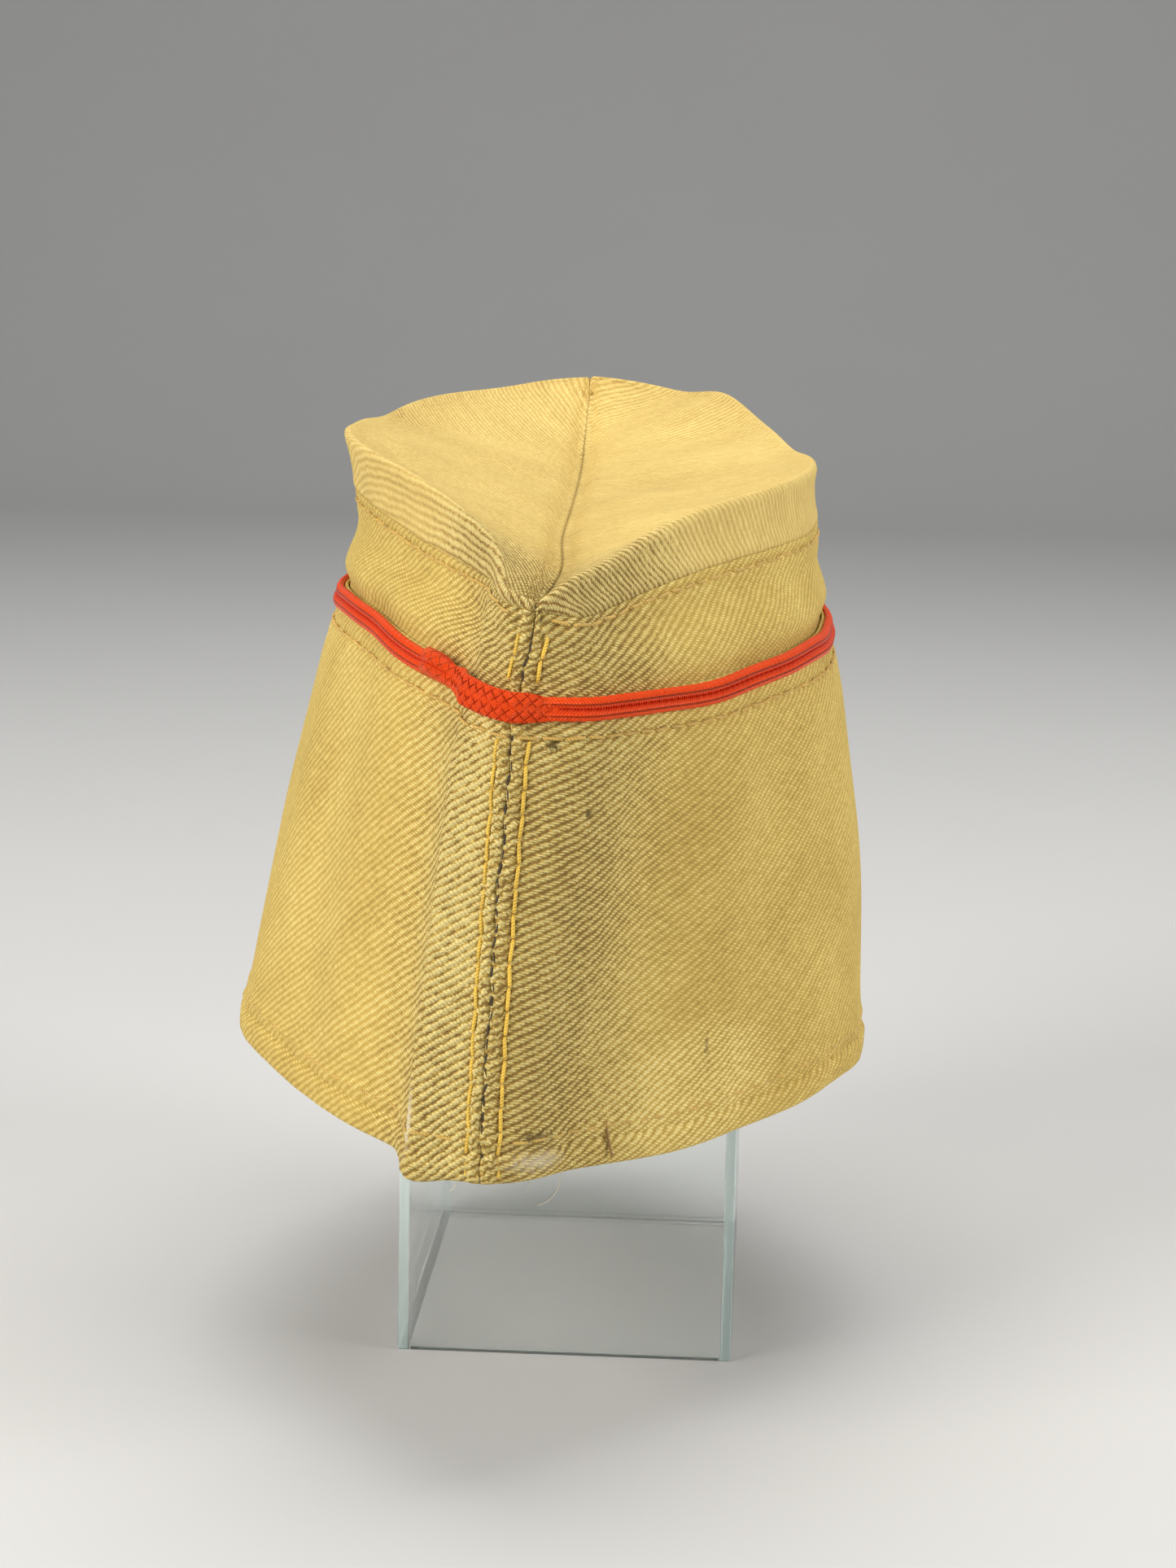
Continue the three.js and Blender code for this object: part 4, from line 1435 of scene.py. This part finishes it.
class CapColours(bpy.types.PropertyGroup):
    """Colours of the cap, its thread and its stand."""

    twill: colour_setting("Twill", "Khaki of the walls and the turn-up", (0.58, 0.402, 0.096))
    top: colour_setting("Top", "Khaki of the top panels", (0.65, 0.46, 0.145))
    # Faded khaki, which the twill's paint also uses for the painted highlight on its rib tops and as its
    # sheen tint
    pale: colour_setting("Faded", "Khaki where it has faded", (0.95, 0.785, 0.325))
    thread: colour_setting("Thread", "Golden sewing thread", (0.86, 0.55, 0.06))
    dull_thread: colour_setting("Edge thread", "Thread of the rows along the edges", (0.66, 0.42, 0.085))
    seam: colour_setting("Seam thread", "Dark thread down the seams", (0.045, 0.024, 0.008))
    # The braid's paint darkens this red for its painted shade and turns to the highlight colour below on its
    # raised threads
    braid: colour_setting("Braid", "Red of the braid", (0.9, 0.024, 0.003))
    braid_highlight: colour_setting("Braid highlight", "Red of the braid's raised threads", (1.0, 0.09, 0.009))
    clear: colour_setting("Clear plastic", "Tint of the stand", (0.94, 0.975, 0.97))
    # Cut edges: the plastic's own greenish tint, made pale and less clear to paint the light that they gather
    edge: colour_setting("Plastic edge", "Tint of the stand's cut edges", (0.66, 0.82, 0.79))


class StageSettings(bpy.types.PropertyGroup):
    """Floor and light."""

    floor: colour_setting("Floor", "Colour of the floor", (0.6, 0.6, 0.595))
    key: power_setting("Key light", "Power of the left light", 15.4)
    fill: power_setting("Fill light", "Power of the right light", 10.2)
    sky: power_setting("Top light", "Power of the light above", 12.4)


class SIDECAP_OT_curtain(bpy.types.Operator):
    """Make both halves of the turn-up."""

    bl_idname = "sidecap.curtain"
    bl_label = "Turn-up"

    def execute(self, context):
        sizes, colours = context.scene.sidecap_sizes, context.scene.sidecap_colours
        paint = twill_paint("twill_turn_up", colours.twill, sizes, colours.pale,
                            MARKS, WORN_TURN_UP, WALL_CLEAR)
        rib_angles = (sizes.rib_angle_left, sizes.rib_angle_right)
        add_halves("curtain", curtain_sections, sizes, rib_angles, paint)
        return {"FINISHED"}


class SIDECAP_OT_crown(bpy.types.Operator):
    """Make both halves of the crown wall."""

    bl_idname = "sidecap.crown"
    bl_label = "Crown"

    def execute(self, context):
        sizes, colours = context.scene.sidecap_sizes, context.scene.sidecap_colours
        paint = twill_paint("twill_crown", colours.twill, sizes, colours.pale, (), WORN_CROWN, WALL_CLEAR)
        rib_angles = (sizes.rib_angle_left, sizes.rib_angle_right)
        add_halves("crown", crown_sections, sizes, rib_angles, paint)
        return {"FINISHED"}


class SIDECAP_OT_top(bpy.types.Operator):
    """Make both top panels."""

    bl_idname = "sidecap.top"
    bl_label = "Top"

    def execute(self, context):
        sizes, colours = context.scene.sidecap_sizes, context.scene.sidecap_colours
        paint = twill_paint("twill_top", colours.top, sizes, colours.pale, (), (), TOP_CLEAR)
        rib_angles = (sizes.top_angle_left, sizes.top_angle_right)
        add_halves("top", top_sections, sizes, rib_angles, paint)
        return {"FINISHED"}


class SIDECAP_OT_braid(bpy.types.Operator):
    """Make the two-ribbed braid round the turn-up's top edge."""

    bl_idname = "sidecap.braid"
    bl_label = "Braid"

    def execute(self, context):
        piece = add_cords(braid_paint("ribbed_braid", context.scene.sidecap_colours, CORD_PITCH))
        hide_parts("braid")
        return {"FINISHED"}


class SIDECAP_OT_braid_end(bpy.types.Operator):
    """Make the braid's plaited end, which laps over its start beside the near seam and is turned under."""

    bl_idname = "sidecap.braid_end"
    bl_label = "Braid end"

    def execute(self, context):
        piece = add_plait(braid_paint("plaited_braid", context.scene.sidecap_colours, PLAIT_PITCH))
        return {"FINISHED"}


class SIDECAP_OT_stitching(bpy.types.Operator):
    """Make the rows of stitches and the dark thread down the seams."""

    bl_idname = "sidecap.stitching"
    bl_label = "Stitching"

    def execute(self, context):
        sizes, colours = context.scene.sidecap_sizes, context.scene.sidecap_colours
        pitch = sizes.stitch_pitch / MM
        top = height_of(BRAID_ROW)
        heights = np.linspace(SEAM_START, top - SEAM_BELOW_BRAID, LOWER_SEAM_STEPS)
        lower = rows_at(heights)
        upper = np.linspace(*CROWN_SEAM_ROWS, UPPER_SEAM_STEPS)
        stretches = (
            (lower, curtain_face(heights, top), lambda distance: curtain_shift(heights / top, distance)),
            (upper, np.zeros(UPPER_SEAM_STEPS), lambda distance: crown_shift(upper, distance)),
        )
        golden = []
        dull = []
        seams = []
        for side in SIDES:
            for rows, face, shift in stretches:
                for distance in (np.full(len(rows), SEAM_ROW), row_lengths(side, rows) - SEAM_ROW):
                    angles = angles_at(side, rows, distance[:, None])[:, 0]
                    path, out = wall_path(side, angles, rows, face - STITCH_SUNK)
                    golden.append(stitch_places(path + shift(distance), out, pitch))
            for height in (HEM_ROW, top - BRAID_ROW_BELOW):
                row = rows_at(height)
                distances, angles = along_row(side, row, EDGE_MARGIN, ROW_STEPS)
                path, out = wall_path(side, angles, row, curtain_face(height, top) - STITCH_SUNK)
                dull.append(stitch_places(path + curtain_shift(height / top, distances), out, pitch))
            angles = along_row(side, RIDGE_ROW, RIDGE_MARGIN, ROW_STEPS)[1]
            ridge = ridge_row(side, angles) - RIDGE_ROW_BELOW / RIDGE_ROW_HEIGHT
            dull.append(stitch_places(*wall_path(side, angles, ridge, -STITCH_SUNK), pitch))
        for angle in (0.0, math.pi):
            for rows, face, shift in stretches:
                path, out = wall_path(1, np.full(len(rows), angle), rows, face - SEAM_SUNK)
                waver = SEAM_WANDER if rows is lower else ()
                path[:, 0] += ripple(waver, lengths_along(path, 0)) - SEAM_GAP / 2
                if angle == 0:
                    path = path + shift(0.0)
                seams.append(stitch_places(path, out, pitch * SEAM_PITCH))
        paint = thread_paint("golden_thread", colours.thread)
        add_stitches("stitch_rows", golden, STITCH_ROWS, sizes, paint)
        paint = thread_paint("khaki_thread", colours.dull_thread)
        add_stitches("edge_stitches", dull, EDGE_STITCHES, sizes, paint)
        paint = thread_paint("dark_thread", colours.seam)
        add_stitches("seam_threads", seams, SEAM_THREADS, sizes, paint)
        return {"FINISHED"}


class SIDECAP_OT_loose_threads(bpy.types.Operator):
    """Make the few loose ends of thread at the hem."""

    bl_idname = "sidecap.loose_threads"
    bl_label = "Loose threads"

    def execute(self, context):
        add_thread_ends("thread_ends", LOOSE_ENDS, thread_paint("loose_thread", WORN))
        add_thread_ends("brown_end", BROWN_ENDS, thread_paint("brown_thread", BROWN))
        return {"FINISHED"}


class SIDECAP_OT_stand(bpy.types.Operator):
    """Make the clear stand's panels with polished, eased edges."""

    bl_idname = "sidecap.stand"
    bl_label = "Stand"

    def execute(self, context):
        colours = context.scene.sidecap_colours
        nodes = ("stand_front", "stand_back", "stand_left", "stand_right", "stand_top")
        low, high = (np.array([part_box(node)[n] for node in nodes]) / MM for n in range(2))
        points = low[:, None, :] + (high - low)[:, None, :] * CORNERS[None]
        starts = np.arange(len(nodes)) * len(CORNERS)
        quads = (FACES[None] + starts[:, None, None]).reshape(-1, 4)
        piece = add_piece("stand_panels", points.reshape(-1, 3), quads, [], clear_paint(colours.clear), {})
        piece.data.materials.append(edge_paint(colours.edge))
        piece.data.polygons.foreach_set("use_smooth", np.zeros(len(quads), bool))
        # A cut edge is square to another axis than the panel, but the front's and back's ends meet the sides
        thin = np.argmin(high - low, axis=1)
        cut = (SQUARE_TO[None, :] != thin[:, None]).astype(np.int32)
        cut[:2, 2:] = 0
        piece.data.polygons.foreach_set("material_index", cut.ravel())
        eased = piece.modifiers.new("eased_edges", "BEVEL")
        eased.width = EASED
        eased.segments = 2
        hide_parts(*nodes)
        return {"FINISHED"}


def placed(right, up, back, place):
    """World matrix of an object with these axes at a place."""
    return Matrix([*np.stack([right, up, back, np.array(place)], axis=1).tolist(), [0, 0, 0, 1]])


def add_light(name, place, size, power, colour):
    """Soft area light at a place, turned to face the cap."""
    light = bpy.data.lights.new(name, "AREA")
    light.shape = "DISK"
    light.size = size
    light.energy = power
    light.color = colour
    lamp = bpy.data.objects.new(name, light)
    back = unit(np.array(place) - np.array(LIGHT_AIM))
    right = unit(np.cross(LIGHT_LEVEL, back))
    lamp.matrix_world = placed(right, np.cross(back, right), back, place)
    lamp.visible_camera = False
    bpy.context.scene.collection.objects.link(lamp)


def add_floor(paint):
    """Flat floor that turns up behind the cap by a quarter circle into an upright wall."""
    turn = np.linspace(0, math.pi / 2, FLOOR_STEPS)[1:]
    back = FLOOR_FAR + FLOOR_CURVE
    depth = np.concatenate([[FLOOR_NEAR, FLOOR_FAR], FLOOR_FAR + FLOOR_CURVE * np.sin(turn), [back]])
    height = np.concatenate([[0.0, 0.0], FLOOR_CURVE - FLOOR_CURVE * np.cos(turn), [FLOOR_TOP]])
    across = np.linspace(-FLOOR_HALF, FLOOR_HALF, FLOOR_COLUMNS)[:, None]
    points = np.stack(np.broadcast_arrays(across, depth[None, :], height[None, :]), axis=-1)
    quads = grid_quads(*points.shape[:2], False, False)
    mesh = bpy.data.meshes.new("floor")
    mesh.from_pydata(points.reshape(-1, 3).tolist(), [], quads[:, ::-1].tolist())
    mesh.polygons.foreach_set("use_smooth", np.ones(len(quads), bool))
    mesh.materials.append(paint)
    floor = bpy.data.objects.new("floor", mesh)
    bpy.context.scene.collection.objects.link(floor)


def add_camera():
    """Camera at the photograph's eye, turned, pitched and rolled from looking along +Y."""
    level = np.array([math.cos(CAMERA_TURN), math.sin(CAMERA_TURN), 0.0])
    behind = np.array([math.sin(CAMERA_TURN), -math.cos(CAMERA_TURN), 0.0])
    back = behind * math.cos(CAMERA_PITCH) + UP * math.sin(CAMERA_PITCH)
    rise = np.cross(back, level)
    right = level * math.cos(CAMERA_ROLL) + rise * math.sin(CAMERA_ROLL)
    up = rise * math.cos(CAMERA_ROLL) - level * math.sin(CAMERA_ROLL)
    lens = bpy.data.cameras.new("camera")
    lens.sensor_width = CAMERA_SENSOR
    lens.lens = CAMERA_LENS
    lens.clip_start = CAMERA_CLIP
    camera = bpy.data.objects.new("camera", lens)
    camera.matrix_world = placed(right, up, back, CAMERA_EYE)
    bpy.context.scene.collection.objects.link(camera)
    bpy.context.scene.camera = camera


class SIDECAP_OT_stage(bpy.types.Operator):
    """Make the pale floor, the soft studio light and the camera."""

    bl_idname = "sidecap.stage"
    bl_label = "Stage"

    def execute(self, context):
        stage = context.scene.sidecap_stage
        add_floor(floor_paint(stage.floor))
        for name, (place, size, colour) in LIGHTS.items():
            add_light(name, place, size, getattr(stage, name), colour)
        world = bpy.data.worlds.new("studio")
        world.use_nodes = True
        background = world.node_tree.nodes["Background"]
        background.inputs["Color"].default_value = ROOM_COLOUR
        background.inputs["Strength"].default_value = ROOM_STRENGTH
        context.scene.world = world
        add_camera()
        context.scene.view_settings.view_transform = "Standard"
        return {"FINISHED"}


class SIDECAP_PT_panel(bpy.types.Panel):
    """Sidebar panel with the sizes, the colours and the pieces."""

    bl_idname = "SIDECAP_PT_panel"
    bl_label = "Side cap"
    bl_space_type = "VIEW_3D"
    bl_region_type = "UI"
    bl_category = "Side cap"

    def draw(self, context):
        scene = context.scene
        for group in (scene.sidecap_sizes, scene.sidecap_colours, scene.sidecap_stage):
            for key in group.bl_rna.properties.keys():
                if key not in ("rna_type", "name"):
                    self.layout.prop(group, key)
        for operator in PIECE_OPERATORS:
            self.layout.operator(operator.bl_idname)


PIECE_OPERATORS = (
    SIDECAP_OT_curtain,
    SIDECAP_OT_crown,
    SIDECAP_OT_top,
    SIDECAP_OT_braid,
    SIDECAP_OT_braid_end,
    SIDECAP_OT_stitching,
    SIDECAP_OT_loose_threads,
    SIDECAP_OT_stand,
    SIDECAP_OT_stage,
)
CLASSES = (ClothSizes, CapColours, StageSettings, *PIECE_OPERATORS, SIDECAP_PT_panel)


def register():
    """Adds the classes and the scene's settings."""
    for item in CLASSES:
        bpy.utils.register_class(item)
    bpy.types.Scene.sidecap_sizes = bpy.props.PointerProperty(type=ClothSizes)
    bpy.types.Scene.sidecap_colours = bpy.props.PointerProperty(type=CapColours)
    bpy.types.Scene.sidecap_stage = bpy.props.PointerProperty(type=StageSettings)


def unregister():
    """Removes the scene's settings and the classes."""
    del bpy.types.Scene.sidecap_stage
    del bpy.types.Scene.sidecap_colours
    del bpy.types.Scene.sidecap_sizes
    for item in reversed(CLASSES):
        bpy.utils.unregister_class(item)


def main():
    register()
    bpy.ops.sidecap.curtain()
    bpy.ops.sidecap.crown()
    bpy.ops.sidecap.top()
    bpy.ops.sidecap.braid()
    bpy.ops.sidecap.braid_end()
    bpy.ops.sidecap.stitching()
    bpy.ops.sidecap.loose_threads()
    bpy.ops.sidecap.stand()
    bpy.ops.sidecap.stage()


if __name__ == "__main__":
    main()
